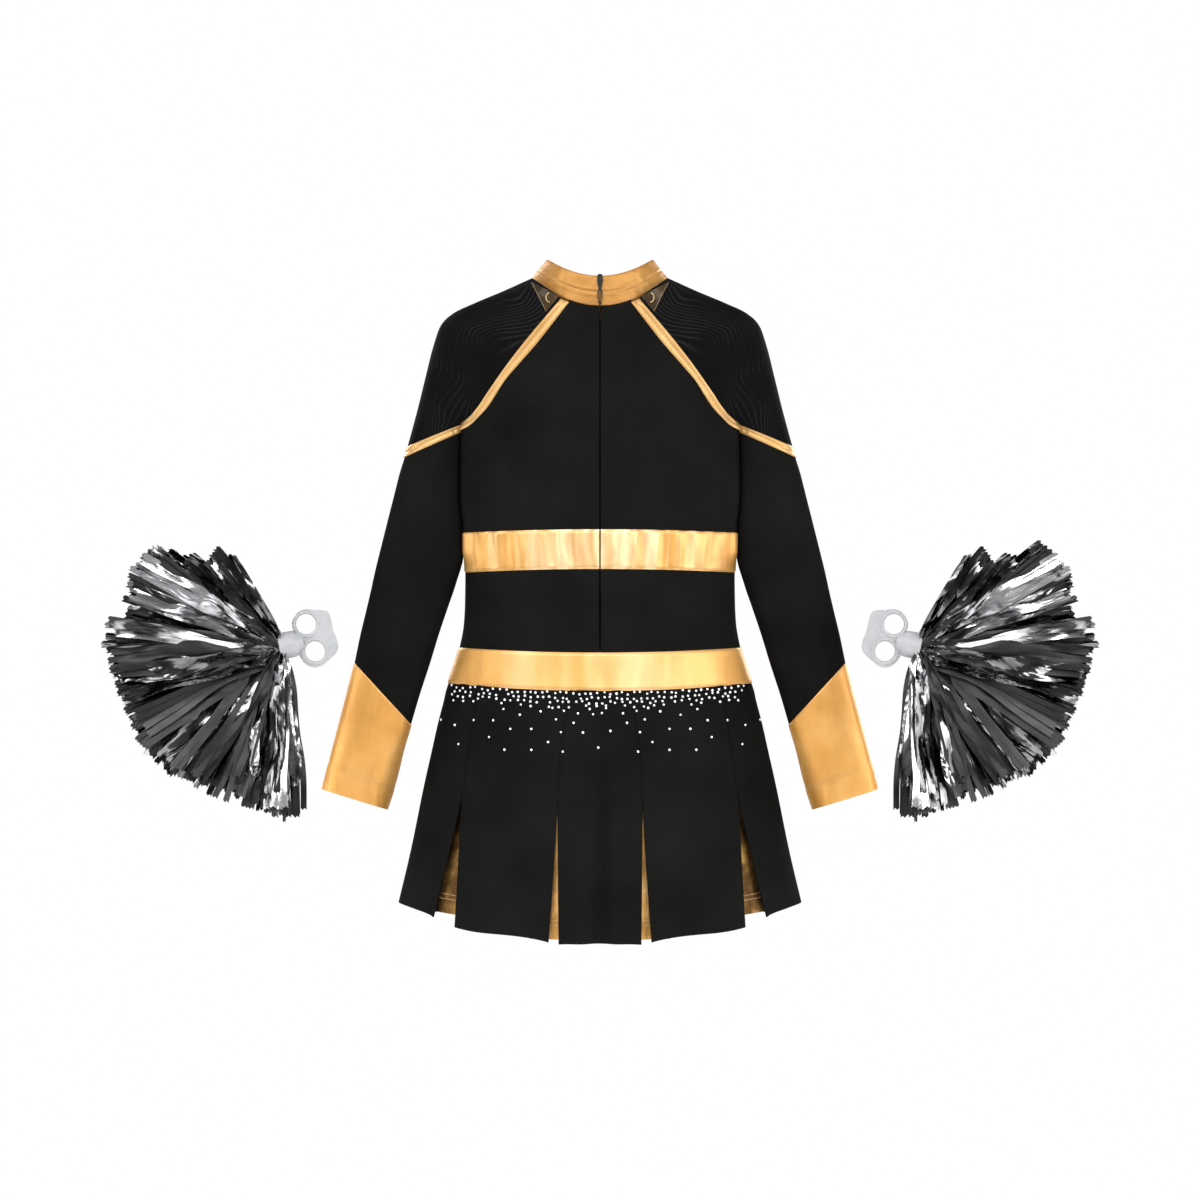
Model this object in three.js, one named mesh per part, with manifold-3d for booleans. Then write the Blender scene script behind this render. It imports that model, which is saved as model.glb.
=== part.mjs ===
// Cheer uniform: a long-sleeved, zip-back pleated dress with its pair of finger-ring poms.
// Millimetres, +Z up. The dress hangs upright as it is worn: its back faces -Y, its front +Y, and X runs across the shoulders.
// The origin is midway between the shoulders, level with the base of the neck.
import * as THREE from "three";
import { mergeVertices } from "three/addons/utils/BufferGeometryUtils.js";
import Module from "manifold-3d";

const wasm = await Module();
wasm.setup();

// ---- driving dimensions ----
const WALL = 1.6; // cloth with its seam allowance and lining
const GAP = 0.3; // clear space between neighbouring pieces
const SLIT = 0.55; // half width of the zip slit down the centre back
const BACK_Y = -60; // the centre back is straight, so that the zip runs true
const ZIP_BOTTOM = -350;
const SKIRT_TOP = -391;
const PLEAT_FREE = -483; // pleats are stitched shut above this height and hang free below it
const SHOULDER = { x: -133, z: -44, r: 36 }; // axis of the left shoulder, and the round cut about it
const ELBOW = { x: -229.6, z: -290 }; // on the outer edge of the left sleeve
const FABRIC = { roughness: 0.85, metalness: 0.0 };
const BLACK = 0x19191a;
const MESH_BLACK = 0x101011;
const GOLD = 0xd9a441;

// Body of the dress by height: [z, half width, y of the side seam, y of the back, y of the front].
const TORSO = [
  [18, 72, -12, -18, -6],
  [14, 82, -12, -33, 8],
  [8, 96, -11, -50, 20],
  [1, 118, -9, -57, 29],
  [-6, 132, -7, -60, 33],
  [-14, 138, -5, -60, 37],
  [-30, 142, -3, -60, 44],
  [-49, 144, 0, -60, 50],
  [-90, 141, 0, -60, 57],
  [-135, 136.5, 0, -60, 60],
  [-180, 137, 0, -60, 60],
  [-231, 137, 0, -60, 55],
  [-271, 133, 0, -60, 51],
  [-310, 134.5, 0, -60, 50],
  [-349, 139, 0, -60.5, 54],
  [-391, 152, 0, -63, 61],
];
// Left sleeve by height: [z, outer edge, inner edge, half depth]. Below the elbow it hangs a little forward.
const SLEEVE = [
  [-5, 138, 110, 4],
  [-9, 144, 100, 10],
  [-17, 154, 94, 17],
  [-30, 161, 92, 23],
  [-49, 167, 94, 26],
  [-70, 173, 101, 27],
  [-91, 178, 110, 27],
  [-115, 184, 123, 26],
  [-135, 189.5, 136, 25],
  [-150, 193, 138.3, 24],
  [-200, 206, 138.3, 21],
  [-255, 221, 138.3, 18.5],
  [-300, 231.5, 152, 18.5],
  [-358, 245, 168, 18],
  [-400, 255.5, 183, 17.5],
  [-432, 262, 192, 17],
  [-492, 276.5, 209.5, 16.5],
  [-515, 282, 216, 16.5],
];
// Skirt by height: [z, half width, half depth, squareness].
const SKIRT = [
  [-391.4, 152.5, 62.5, 2.0],
  [-440, 164, 72, 2.15],
  [-483, 177, 84, 2.3],
  [-545, 190, 98, 2.4],
  [-642, 208, 118, 2.5],
];

function lerpTable(table, z) {
  const up = table[0][0] > table[table.length - 1][0];
  let i = 0;
  while (i < table.length - 2 && (up ? z < table[i + 1][0] : z > table[i + 1][0])) i++;
  const a = table[i],
    b = table[i + 1];
  const t = Math.min(1, Math.max(0, (z - a[0]) / (b[0] - a[0])));
  return a.map((v, k) => v + (b[k] - v) * t);
}

// ---- solids ----
function toSolid(geometry) {
  const g = new THREE.BufferGeometry();
  g.setAttribute("position", geometry.getAttribute("position"));
  if (geometry.index) g.setIndex(geometry.index);
  const merged = mergeVertices(g, 1e-4);
  const solid = new wasm.Manifold(
    new wasm.Mesh({
      numProp: 3,
      vertProperties: new Float32Array(merged.attributes.position.array),
      triVerts: new Uint32Array(merged.index.array),
    }),
  );
  return solid;
}
function toGeometry(solid) {
  const m = solid.getMesh();
  const v = new Float32Array(m.numVert * 3);
  for (let i = 0; i < m.numVert; i++) v.set(m.vertProperties.subarray(i * m.numProp, i * m.numProp + 3), i * 3);
  const g = new THREE.BufferGeometry();
  g.setAttribute("position", new THREE.BufferAttribute(v, 3));
  g.setIndex(new THREE.BufferAttribute(new Uint32Array(m.triVerts), 1));
  return g;
}
function mirrorX(solid) {
  const g = toGeometry(solid);
  g.applyMatrix4(new THREE.Matrix4().makeScale(-1, 1, 1));
  const ix = g.index.array;
  for (let i = 0; i < ix.length; i += 3) [ix[i + 1], ix[i + 2]] = [ix[i + 2], ix[i + 1]];
  return toSolid(g);
}
function largest(solid) {
  const pieces = solid.decompose();
  return pieces.reduce((a, b) => (b.volume() > a.volume() ? b : a)).simplify(0.06);
}

// A closed solid between two heights whose rings are given by ring(z, angle) -> [x, y], from a capped cylinder.
function tower(heights, segments, ring, bend) {
  const zs = [...heights].sort((a, b) => a - b);
  const g = new THREE.CylinderGeometry(1, 1, 1, segments, zs.length - 1, false);
  g.rotateX(Math.PI / 2); // cylinder axis along Z
  const p = g.getAttribute("position");
  for (let i = 0; i < p.count; i++) {
    const x = p.getX(i),
      y = p.getY(i),
      k = Math.round((p.getZ(i) + 0.5) * (zs.length - 1));
    const z = zs[k],
      r = Math.hypot(x, y);
    if (r < 0.5) {
      const a = ring(z, 0),
        b = ring(z, Math.PI);
      p.setXYZ(i, (a[0] + b[0]) / 2, (a[1] + b[1]) / 2, bend ? bend(z, (a[0] + b[0]) / 2, (a[1] + b[1]) / 2) : z);
    } else {
      const q = ring(z, Math.atan2(y, x));
      p.setXYZ(i, q[0], q[1], bend ? bend(z, q[0], q[1]) : z);
    }
  }
  return toSolid(g);
}
// A closed prism over a polygon of [x, z] points, from y0 to y1.
function prism(points, y0 = -300, y1 = 300) {
  const shape = new THREE.Shape(points.map(([x, z]) => new THREE.Vector2(x, z)));
  const g = new THREE.ExtrudeGeometry(shape, { depth: y1 - y0, bevelEnabled: false, curveSegments: 1 });
  g.rotateX(Math.PI / 2);
  g.translate(0, y1, 0);
  return toSolid(g);
}
function box(x0, x1, y0, y1, z0, z1) {
  const g = new THREE.BoxGeometry(x1 - x0, y1 - y0, z1 - z0);
  g.translate((x0 + x1) / 2, (y0 + y1) / 2, (z0 + z1) / 2);
  return toSolid(g);
}
function disc(cx, cz, r, y0 = -300, y1 = 300, n = 28) {
  const g = new THREE.CylinderGeometry(r, r, y1 - y0, n);
  g.translate(cx, (y0 + y1) / 2, cz);
  return toSolid(g);
}

const torsoRing = (t) => (z, a) => {
  const [, w, c, b, f] = lerpTable(TORSO, z);
  const y = Math.sin(a);
  return [(w - t) * Math.cos(a), c + (y < 0 ? (c - (b + t)) * y : (f - t - c) * y)];
};
const sleeveY = (z) => lerpTable([[0, 0], [-255, 0], [-300, 2], [-358, 13], [-432, 29], [-515, 47]], z)[1];
const sleeveRing = (t) => (z, a) => {
  const [, o, i, d] = lerpTable(SLEEVE, z);
  const w = Math.max(0.8, (o - i) / 2 - t),
    h = Math.max(0.8, d - t),
    c = z > -255 ? lerpTable(TORSO, z)[2] : sleeveY(z);
  return [-(o + i) / 2 + w * Math.cos(a), c + h * Math.sin(a)];
};
const skirtRing = (t) => (z, a) => {
  const [, w, d, n] = lerpTable(SKIRT, z);
  const c = Math.cos(a),
    s = Math.sin(a);
  return [(w - t) * Math.sign(c) * Math.abs(c) ** (2 / n), (d - t) * Math.sign(s) * Math.abs(s) ** (2 / n)];
};

// ---- the shell of the top: body and both sleeves, hollow, with the armholes open between them ----
const zT = [-391, -349, -271, -180, -112, -70, -30, -14, -6, 1, 8, 18];
const zA = [-515, -432, -358, -300, -255, -200, -135, -91, -49, -30, -17, -9, -5];
const zTi = zT.map((z, i) => (i === 0 ? -400 : i === zT.length - 1 ? 16.4 : z)); // the inner form runs out past the open end
const zAi = zA.map((z, i) => (i === 0 ? -530 : i === zA.length - 1 ? -7 : z));
const bodyOuter = tower(zT, 30, torsoRing(0));
const bodyInner = tower(zTi, 30, torsoRing(WALL));
const armOuterL = tower(zA, 14, sleeveRing(0));
const armInnerL = tower(zAi, 14, sleeveRing(WALL));
const outer = bodyOuter.add(armOuterL).add(mirrorX(armOuterL));
const inner = bodyInner.add(armInnerL).add(mirrorX(armInnerL));

// ---- collar ----
const COLLAR = { aTop: 53, aBottom: 68, b: 48, yc: -12 };
const collarBottom = (x, y) => (y < COLLAR.yc ? -6 + 20 * (x / 68) ** 2 : -14 + 28 * (x / 68) ** 2);
const collarTop = (x, y) => 24 + (y < COLLAR.yc ? 17 : 17) * (x / 53) ** 2;
function collarSolid(t, zLow, zHigh) {
  // zLow and zHigh move the bottom and top edges; a ring solid from bottom to top
  return tower(
    [0, 1],
    28,
    (k, a) => {
      const v = k;
      const w = COLLAR.aBottom + (COLLAR.aTop - COLLAR.aBottom) * v;
      return [(w - t) * Math.cos(a), COLLAR.yc + (COLLAR.b - t) * Math.sin(a)];
    },
    (k, x, y) => {
      const v = k;
      const w = COLLAR.aBottom + (COLLAR.aTop - COLLAR.aBottom) * v - t;
      const xb = (x / w) * 68,
        xt = (x / w) * 53;
      return (1 - v) * (collarBottom(xb, y) + zLow) + v * (collarTop(xt, y) + zHigh);
    },
  );
}
const collarRing = collarSolid(0, 0, 0).subtract(collarSolid(WALL, -4, 4));
const neckCut = tower(
  [0, 1],
  28,
  (k, a) => [68.4 * Math.cos(a), COLLAR.yc + 48.4 * Math.sin(a)],
  (k, x, y) => (k === 0 ? collarBottom(x, y) - 0.35 : 80),
);
const slit = box(-SLIT, SLIT, -80, -40, ZIP_BOTTOM - 2, 60);
let shell = outer.subtract(inner).subtract(neckCut).subtract(slit);

// ---- cutting lines on the left half, as [x, z] ----
const PIPE_OUT = [[-41.8, 6], [-85.3, -43.8], [-113.4, -83], [-127.4, -108], [-135.8, -121]];
const PIPE_IN = [[-29.2, 2], [-74.1, -52], [-99.3, -88.7], [-114.8, -111], [-123.2, -122.4], [-133.6, -131]];
const INNER_CUT = [[-106, -62], [-117.5, -83], [-131, -107], [-137.8, -120], [-137.8, -256], [-144.5, -300], [-156, -358], [-168, -400], [-178, -432], [-193, -492], [-200, -600]];
const g2 = GAP / 2;
const shiftX = (points, dx) => points.map(([x, z]) => [x + dx, z]);

const armRegion = disc(SHOULDER.x, SHOULDER.z, SHOULDER.r).add(
  prism([[-133, -44], ...INNER_CUT, [-360, -600], [-360, -44]]),
);
const armRegionWide = disc(SHOULDER.x, SHOULDER.z, SHOULDER.r + GAP)
  .add(prism([[-133, -43.7], ...shiftX(INNER_CUT, GAP), [-360, -600], [-360, -43.7]]))
  .add(prism([[-128, -46], [-128, 40], [-220, 40], [-220, -46]]));
const bodySide = shell.subtract(armRegionWide).subtract(mirrorX(armRegionWide)).intersect(box(-200, 200, -200, 200, -600, 100));
const armShell = shell.intersect(armRegion);

// region right of the piping (towards the centre), above the waist band
const TOPZ = 60;
const pipeOuterPoly = [[-41.8, TOPZ], ...PIPE_OUT.map(([x, z]) => [x, z])];
const yokeRegion = prism([...shiftX(pipeOuterPoly, -g2), [-139, -123.5], [-139, -135], [-260, -135], [-260, TOPZ]]);
const pipingRegion = prism([
  ...shiftX(pipeOuterPoly, g2),
  [-138.5, -123.2],
  [-138.5, -130.6],
  [-133.6, -130.8],
  ...shiftX([...PIPE_IN].reverse().slice(1), -g2),
  [-29.2 - g2, TOPZ],
]);
const centreLeft = prism([
  [-29.2 + g2, TOPZ],
  ...shiftX(PIPE_IN, g2),
  [-139.5, -131.2],
  [-139.5, -231 + g2],
  [0, -229 + g2],
  [0, TOPZ],
]);
const halfBack = box(-400, 400, -300, -g2, -700, 200);
const halfFront = box(-400, 400, g2, 300, -700, 200);
const left = box(-400, 0, -300, 300, -700, 200);

const parts = {}; // name -> { solid, color, material }
function put(name, solid, color, extra = {}) {
  parts[name] = { solid: largest(solid), color, ...extra };
}
function both(name, solidLeft, color, extra) {
  put(name + "_left", solidLeft, color, extra);
  put(name + "_right", mirrorX(parts[name + "_left"].solid), color, extra);
}

both("yoke", bodySide.intersect(yokeRegion), MESH_BLACK);
both("piping_back", bodySide.intersect(pipingRegion).intersect(halfBack), GOLD);
both("piping_front", bodySide.intersect(pipingRegion).intersect(halfFront), GOLD);
both("back_panel", bodySide.intersect(centreLeft).intersect(halfBack), BLACK);
put("front_panel", bodySide.intersect(centreLeft.add(mirrorX(centreLeft))).intersect(halfFront), BLACK);

// bands round the body: edges bow a little at the centre
const layer = (topSide, topMid, lowSide, lowMid) =>
  prism([[-139.6, topSide], [-139.6, lowSide], [0, lowMid], [139.6, lowSide], [139.6, topSide], [0, topMid]]);
const layerHip = (topSide, topMid, lowSide, lowMid) =>
  prism([
    [-160, topSide],
    [-160, lowSide],
    [-75, (lowSide + 3 * lowMid) / 4],
    [0, lowMid],
    [75, (lowSide + 3 * lowMid) / 4],
    [160, lowSide],
    [160, topSide],
    [0, topMid],
  ]);
const waist = layer(-231 - g2, -229 - g2, -271.5 + g2, -269.5 + g2);
const midriff = layer(-271.5 - g2, -269.5 - g2, -348 + g2, -351.5 + g2);
const hip = layerHip(-348 - g2, -351.5 - g2, -385, -390.5);
for (const [name, region, colour] of [
  ["waist_band", waist, GOLD],
  ["midriff", midriff, BLACK],
]) {
  const s = bodySide.intersect(region);
  both(name + "_back", s.intersect(halfBack).intersect(left), colour);
  put(name + "_front", s.intersect(halfFront), colour);
}
put("hip_band_back", bodySide.intersect(hip).intersect(halfBack), GOLD);
put("hip_band_front", bodySide.intersect(hip).intersect(halfFront), GOLD);

// ---- collar pieces ----
const collarSplit = box(-44, 44, -80, COLLAR.yc, -60, 80);
const collarBackLeft = collarRing
  .intersect(box(-44, -SLIT, -80, COLLAR.yc - 2, -60, 80));
both("collar_back", collarBackLeft, GOLD);
put("collar_front", collarRing.subtract(box(-44 - GAP, 44 + GAP, -80, COLLAR.yc - 2 + GAP, -60, 80)), GOLD);

// ---- sleeves ----
const STRIPE_TOP = [[-100, -104.5], [-190.5, -146.3], [-230, -164.5]];
const STRIPE_LOW = [[-100, -116.2], [-133, -130.8], [-195.3, -158.3], [-230, -173.6]];
const ELBOW_CUT = [[ELBOW.x, ELBOW.z], [-120, -321]];
const CUFF_SEAM = [[-262, -347], [-246.5, -361.5], [-190.3, -425.2], [-170, -448]];
const HEM_END = [[-300, -484], [-278.3, -490.5], [-215.1, -510.8], [-190, -518.8]];
const band2 = (top, low) => prism([...top, ...[...low].reverse()]);
both(
  "sleeve_cap",
  armShell.intersect(prism([...STRIPE_TOP.map(([x, z]) => [x, z + g2]), [-300, -164.5], [-300, 40], [-60, 40], [-60, -104.5]])),
  MESH_BLACK,
);
both("sleeve_stripe", armShell.intersect(band2(STRIPE_TOP.map(([x, z]) => [x, z - g2]), STRIPE_LOW.map(([x, z]) => [x, z + g2]))), GOLD);
both(
  "sleeve_upper",
  armShell.intersect(
    prism([...STRIPE_LOW.map(([x, z]) => [x, z - g2]), [-260, -176], [-260, ELBOW.z + GAP], ...ELBOW_CUT.map(([x, z]) => [x, z + GAP])]),
  ),
  BLACK,
);
both(
  "sleeve_lower",
  armShell.intersect(
    prism([[-330, ELBOW.z], ...ELBOW_CUT, [-120, -448], ...[...CUFF_SEAM].reverse().map(([x, z]) => [x, z + g2]), [-330, -347 + g2]]),
  ),
  BLACK,
);
both(
  "cuff",
  armShell.intersect(prism([[-330, -347 - g2], ...CUFF_SEAM.map(([x, z]) => [x, z - g2]), [-170, -512], ...[...HEM_END].reverse()])),
  GOLD,
);

// ---- zip ----
const tapeL = box(-7, -1.15, -57.8, -57.1, ZIP_BOTTOM + 4, 19).add(box(-1.9, -0.5, -58.1, -56.5, ZIP_BOTTOM + 4, 20));
both("zip_tape", tapeL, BLACK);
put("zip_bottom_stop", box(-2.2, 2.2, -57.8, -56.2, ZIP_BOTTOM + 0.4, ZIP_BOTTOM + 3.2), BLACK, { metal: true });
{
  // the slider: a rounded body outside, a thin neck through the slit, and a plate inside
  const s = new THREE.Shape();
  s.moveTo(-2, 12.9);
  s.lineTo(2, 12.9);
  s.lineTo(3.1, 18.5);
  s.lineTo(2.6, 23.5);
  s.lineTo(1.2, 25.1);
  s.lineTo(-1.2, 25.1);
  s.lineTo(-2.6, 23.5);
  s.lineTo(-3.1, 18.5);
  s.lineTo(-2, 12.9);
  const g = new THREE.ExtrudeGeometry(s, { depth: 3.2, bevelEnabled: false });
  g.rotateX(Math.PI / 2);
  g.translate(0, -60.5, 0);
  let slider = toSolid(g)
    .add(box(-0.32, 0.32, -61, -55.2, 14.0, 24.0))
    .add(box(-2.6, 2.6, -56.2, -55.2, 13.5, 24.5))
    .add(box(-2.1, -1.35, -66.1, -63, 11.5, 15.1))
    .add(box(1.35, 2.1, -66.1, -63, 11.5, 15.1));
  put("zip_slider", slider, BLACK, { metal: true });
  const pull = new THREE.Shape();
  pull.absellipse(0, 2.9, 2.7, 9.2, 0, Math.PI * 2, false, 0);
  const hole = new THREE.Path();
  hole.absellipse(0, 1.7, 1.6, 6.4, 0, Math.PI * 2, true, 0);
  pull.holes.push(hole);
  const pg = new THREE.ExtrudeGeometry(pull, { depth: 1.2, bevelEnabled: false, curveSegments: 8 });
  pg.rotateX(Math.PI / 2);
  pg.translate(0, -64.5, 0);
  const eye = box(-1.05, 1.05, -65.7, -64.5, 10.9, 13.2);
  const body = toSolid(pg).intersect(box(-5, 5, -70, -60, -14, 11.1)).add(eye);
  put("zip_pull", body, BLACK, { metal: true });
}

// ---- skirt ----
const skirtShell = tower([-385, -391.4, -440, PLEAT_FREE], 32, skirtRing(0)).subtract(
  tower([-380, -391.4, -440, PLEAT_FREE, PLEAT_FREE - 4], 32, skirtRing(WALL)),
);
const skirtTopCut = prism([[-160, -385.4], [-75, -389.4], [0, -390.9], [75, -389.4], [160, -385.4], [200, -350], [-200, -350]]);
const yokeSkirt = skirtShell.subtract(skirtTopCut);
put("skirt_yoke_back", yokeSkirt.intersect(halfBack), BLACK);
put("skirt_yoke_front", yokeSkirt.intersect(halfFront), BLACK);

// rhinestone trim: a thin strip over the top of the skirt, which carries the stones
const trimOut = tower([-398, -440], 32, skirtRing(-1.0)).subtract(tower([-391.4, -398, -440, -450], 32, skirtRing(-GAP)));
for (const [name, half, sign] of [
  ["rhinestone_trim_back", halfBack, -1],
  ["rhinestone_trim_front", halfFront, 1],
]) {
  put(name, trimOut.intersect(half).intersect(box(-140, 140, -120, 120, -440, -398)), 0xdcdde2, { rough: 0.2 });
}

// A curved sheet that follows the skirt: from angle a0 to a1 (0 at +X, clockwise past -Y seen from above as negative), inset from the surface.
function sheetSolid(topEdge, lowEdge, hemZ, inset, topZ, nu, nv, thick = WALL) {
  // topEdge and lowEdge: [x-parameter start, end] as ring angles at the top and the hem
  const g = new THREE.BoxGeometry(1, 1, 1, nu, 1, nv);
  const p = g.getAttribute("position");
  for (let i = 0; i < p.count; i++) {
    const u = p.getX(i) + 0.5,
      w = p.getY(i) + 0.5, // 0 outside, 1 inside
      v = 0.5 - p.getZ(i); // 0 top, 1 hem
    const a = (1 - v) * (topEdge[0] + (topEdge[1] - topEdge[0]) * u) + v * (lowEdge[0] + (lowEdge[1] - lowEdge[0]) * u);
    const zEnd = hemZ(u);
    const z = topZ + (zEnd - topZ) * v;
    const q = skirtRing(inset + w * thick)(z, a);
    p.setXYZ(i, q[0], q[1], z);
  }
  return toSolid(g);
}
// the ring angle at which the skirt, at height z, has a given x, on the back
function angleAtX(x, z) {
  const [, w, , n] = lerpTable(SKIRT, z);
  const c = Math.abs(x / w) ** (n / 2);
  const a = Math.acos(Math.min(1, c));
  return x < 0 ? -(Math.PI - a) : -a;
}
// pleat edges on the left of the back: [x at the top of the free part, x at the hem, hem z]
const EDGE = {
  centre: [-40.6, -40.4, -641.5],
  wideInner: [-41.4, -51.6, -639],
  wideOuter: [-138.6, -145.6, -624],
  sideInner: [-139.4, -167.5, -615.5],
};
const HEM_SIDE = -603;
const topZ = PLEAT_FREE - 0.6;
const aTop = (e) => angleAtX(EDGE[e][0], topZ);
const aLow = (e) => angleAtX(EDGE[e][1], EDGE[e][2]);
const pleatBackCentre = sheetSolid(
  [aTop("centre"), -Math.PI - aTop("centre")],
  [aLow("centre"), -Math.PI - aLow("centre")],
  () => EDGE.centre[2],
  0,
  topZ,
  4,
  3,
);
const pleatBackLeft = sheetSolid(
  [aTop("wideOuter"), aTop("wideInner")],
  [aLow("wideOuter"), aLow("wideInner")],
  (u) => EDGE.wideOuter[2] + (EDGE.wideInner[2] - EDGE.wideOuter[2]) * u,
  0,
  topZ,
  5,
  3,
);
const sideSpan = (e) => [-2 * Math.PI - aTop(e), aTop(e)];
const pleatSideLeft = sheetSolid(
  [-2 * Math.PI - aTop("sideInner"), aTop("sideInner")],
  [-2 * Math.PI - aLow("sideInner"), aLow("sideInner")],
  (u) => {
    const k = Math.abs(2 * u - 1);
    return HEM_SIDE + (EDGE.sideInner[2] - HEM_SIDE) * k;
  },
  0,
  topZ,
  8,
  3,
);
function mirrorY(solid) {
  const g = toGeometry(solid);
  g.applyMatrix4(new THREE.Matrix4().makeScale(1, -1, 1));
  const ix = g.index.array;
  for (let i = 0; i < ix.length; i += 3) [ix[i + 1], ix[i + 2]] = [ix[i + 2], ix[i + 1]];
  return toSolid(g);
}
put("pleat_back_centre", pleatBackCentre, BLACK);
put("pleat_front_centre", mirrorY(pleatBackCentre), BLACK);
put("pleat_back_left", pleatBackLeft, BLACK);
put("pleat_back_right", mirrorX(pleatBackLeft), BLACK);
put("pleat_front_left", mirrorY(pleatBackLeft), BLACK);
put("pleat_front_right", mirrorY(mirrorX(pleatBackLeft)), BLACK);
put("pleat_side_left", pleatSideLeft, BLACK);
put("pleat_side_right", mirrorX(pleatSideLeft), BLACK);

// gold inserts behind the gaps between pleats
function insert(topX, lowX, hem0, hem1) {
  return sheetSolid(
    [angleAtX(topX[0], topZ), angleAtX(topX[1], topZ)],
    [angleAtX(lowX[0], hem0), angleAtX(lowX[1], hem1)],
    (u) => hem0 + (hem1 - hem0) * u,
    WALL + 4.2,
    topZ,
    4,
    3,
  );
}
const insertInner = insert([-54, -28], [-70, -12], -636, -637.5);
const insertOuter = insert([-153, -116], [-186, -100], -607, -621);
put("insert_back_inner_left", insertInner, GOLD);
put("insert_back_inner_right", mirrorX(insertInner), GOLD);
put("insert_back_outer_left", insertOuter, GOLD);
put("insert_back_outer_right", mirrorX(insertOuter), GOLD);
put("insert_front_inner_left", mirrorY(insertInner), GOLD);
put("insert_front_inner_right", mirrorY(mirrorX(insertInner)), GOLD);
put("insert_front_outer_left", mirrorY(insertOuter), GOLD);
put("insert_front_outer_right", mirrorY(mirrorX(insertOuter)), GOLD);

// ---- poms: a moulded two-ring handle with a round cup, and the tuft of film streamers gripped in the cup ----
const RING_A = { x: -291.4, z: -323.9, hole: 10, out: 14.3 };
const RING_B = { x: -282.4, z: -350.8, hole: 9.9, out: 15.4 };
const POM_Y = -112; // the poms hang clear of the swing of the sleeves
const CUP = { x: -309, z: -344, r: 13, len: 17, dir: (192 * Math.PI) / 180 };
{
  const plate = prism([[-292, -309.8], [-270.3, -310], [-265.5, -327], [-264, -336], [-258.4, -348.6], [-268.9, -357.2], [-276, -364], [-290, -352], [-302, -340]], -4, 4);
  let handle = plate
    .add(disc(RING_A.x, RING_A.z, RING_A.out, -5, 5, 24))
    .add(disc(RING_B.x, RING_B.z, RING_B.out, -5, 5, 24));
  // cup: a short turned cylinder open on its far side
  const profile = [
    [0, 0],
    [9, 0],
    [12, 2.5],
    [13, 6],
    [13.4, 17],
    [11.4, 17],
    [11, 7],
    [0, 6],
  ].map(([r, y]) => new THREE.Vector2(r, y));
  const cupG = new THREE.LatheGeometry(profile, 16);
  const dir = new THREE.Vector3(Math.cos(CUP.dir), 0, Math.sin(CUP.dir));
  cupG.applyQuaternion(new THREE.Quaternion().setFromUnitVectors(new THREE.Vector3(0, 1, 0), dir));
  cupG.translate(-300, 0, -342.5);
  let cup = toSolid(cupG);
  if (cup.volume() < 0) throw new Error("cup is inside out");
  handle = handle.add(cup).add(box(-304, -294, -6, 6, -350, -334));
  handle = handle.subtract(disc(RING_A.x, RING_A.z, RING_A.hole, -30, 30, 20)).subtract(disc(RING_B.x, RING_B.z, RING_B.hole, -30, 30, 20));
  handle = handle.translate(0, POM_Y, 0);
  both("pom_handle", handle, 0xe4e5e7, { rough: 0.45 });

  // tuft: a flattened fan about the cup, one closed solid of the outer shape of the streamers
  const C = { x: -307.6, z: -344.1 };
  const OUTLINE = [
    [121, 118],
    [133, 150],
    [145, 168],
    [160, 170],
    [180, 178],
    [197, 181],
    [212, 176],
    [226, 180],
    [242, 168],
    [258, 172],
    [271, 172],
    [279, 120],
  ];
  const n = OUTLINE.length - 1;
  const g = new THREE.BoxGeometry(1, 1, 1, 4, 4, n);
  const p = g.getAttribute("position");
  for (let i = 0; i < p.count; i++) {
    const u = p.getX(i) + 0.5, // along the streamers
      y = p.getY(i) * 2, // across the thickness, -1..1
      k = Math.round((p.getZ(i) + 0.5) * n);
    const [deg, R] = OUTLINE[k];
    const phi = (deg * Math.PI) / 180;
    const edge = k === 0 || k === n ? 0.45 : k === 1 || k === n - 1 ? 0.8 : 1;
    const r = 15 + (R - 15) * u * (1 - 0.05 * y * y);
    const half = (7.5 + 34 * Math.min(1, u * 1.25) ** 0.8) * edge;
    const fan = 0.0;
    const rr = u === 0 ? 13 : r;
    // the root of the fan is a small disc in front of the cup
    const x = C.x - 9 * Math.abs(Math.cos(CUP.dir)) + rr * Math.cos(phi);
    const z = C.z - 2 + rr * Math.sin(phi);
    p.setXYZ(i, x, y * half, z);
  }
  let tuft = toSolid(g);
  if (tuft.volume() < 0) {
    const gg = toGeometry(tuft);
    const ix = gg.index.array;
    for (let i = 0; i < ix.length; i += 3) [ix[i + 1], ix[i + 2]] = [ix[i + 2], ix[i + 1]];
    tuft = toSolid(gg);
  }
  // keep clear of the cup and the rings
  const keepOut = disc(-303, -343, 22, -60, 60, 32).add(box(-316, -240, -60, 60, -362, -300));
  tuft = tuft.subtract(keepOut);
  tuft = tuft.translate(0, POM_Y, 0);
  both("pom_tuft", tuft, 0x1b1c1f, { rough: 0.2, metal: true });
}

// ---- the scene graph ----
const root = new THREE.Group();
const dress = new THREE.Group();
const poms = new THREE.Group();
root.add(dress, poms);
for (const [name, part] of Object.entries(parts)) {
  const gold = part.color === GOLD;
  const material = new THREE.MeshStandardMaterial({
    color: part.color,
    roughness: part.rough ?? (gold ? 0.42 : FABRIC.roughness),
    metalness: part.metal ? 0.8 : gold ? 0.55 : FABRIC.metalness,
  });
  const mesh = new THREE.Mesh(toGeometry(part.solid), material);
  mesh.name = name;
  (name.startsWith("pom") ? poms : dress).add(mesh);
}

export default root;
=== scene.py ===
import math

import bmesh
import bpy
import numpy as np
from mathutils import Matrix, Vector


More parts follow.
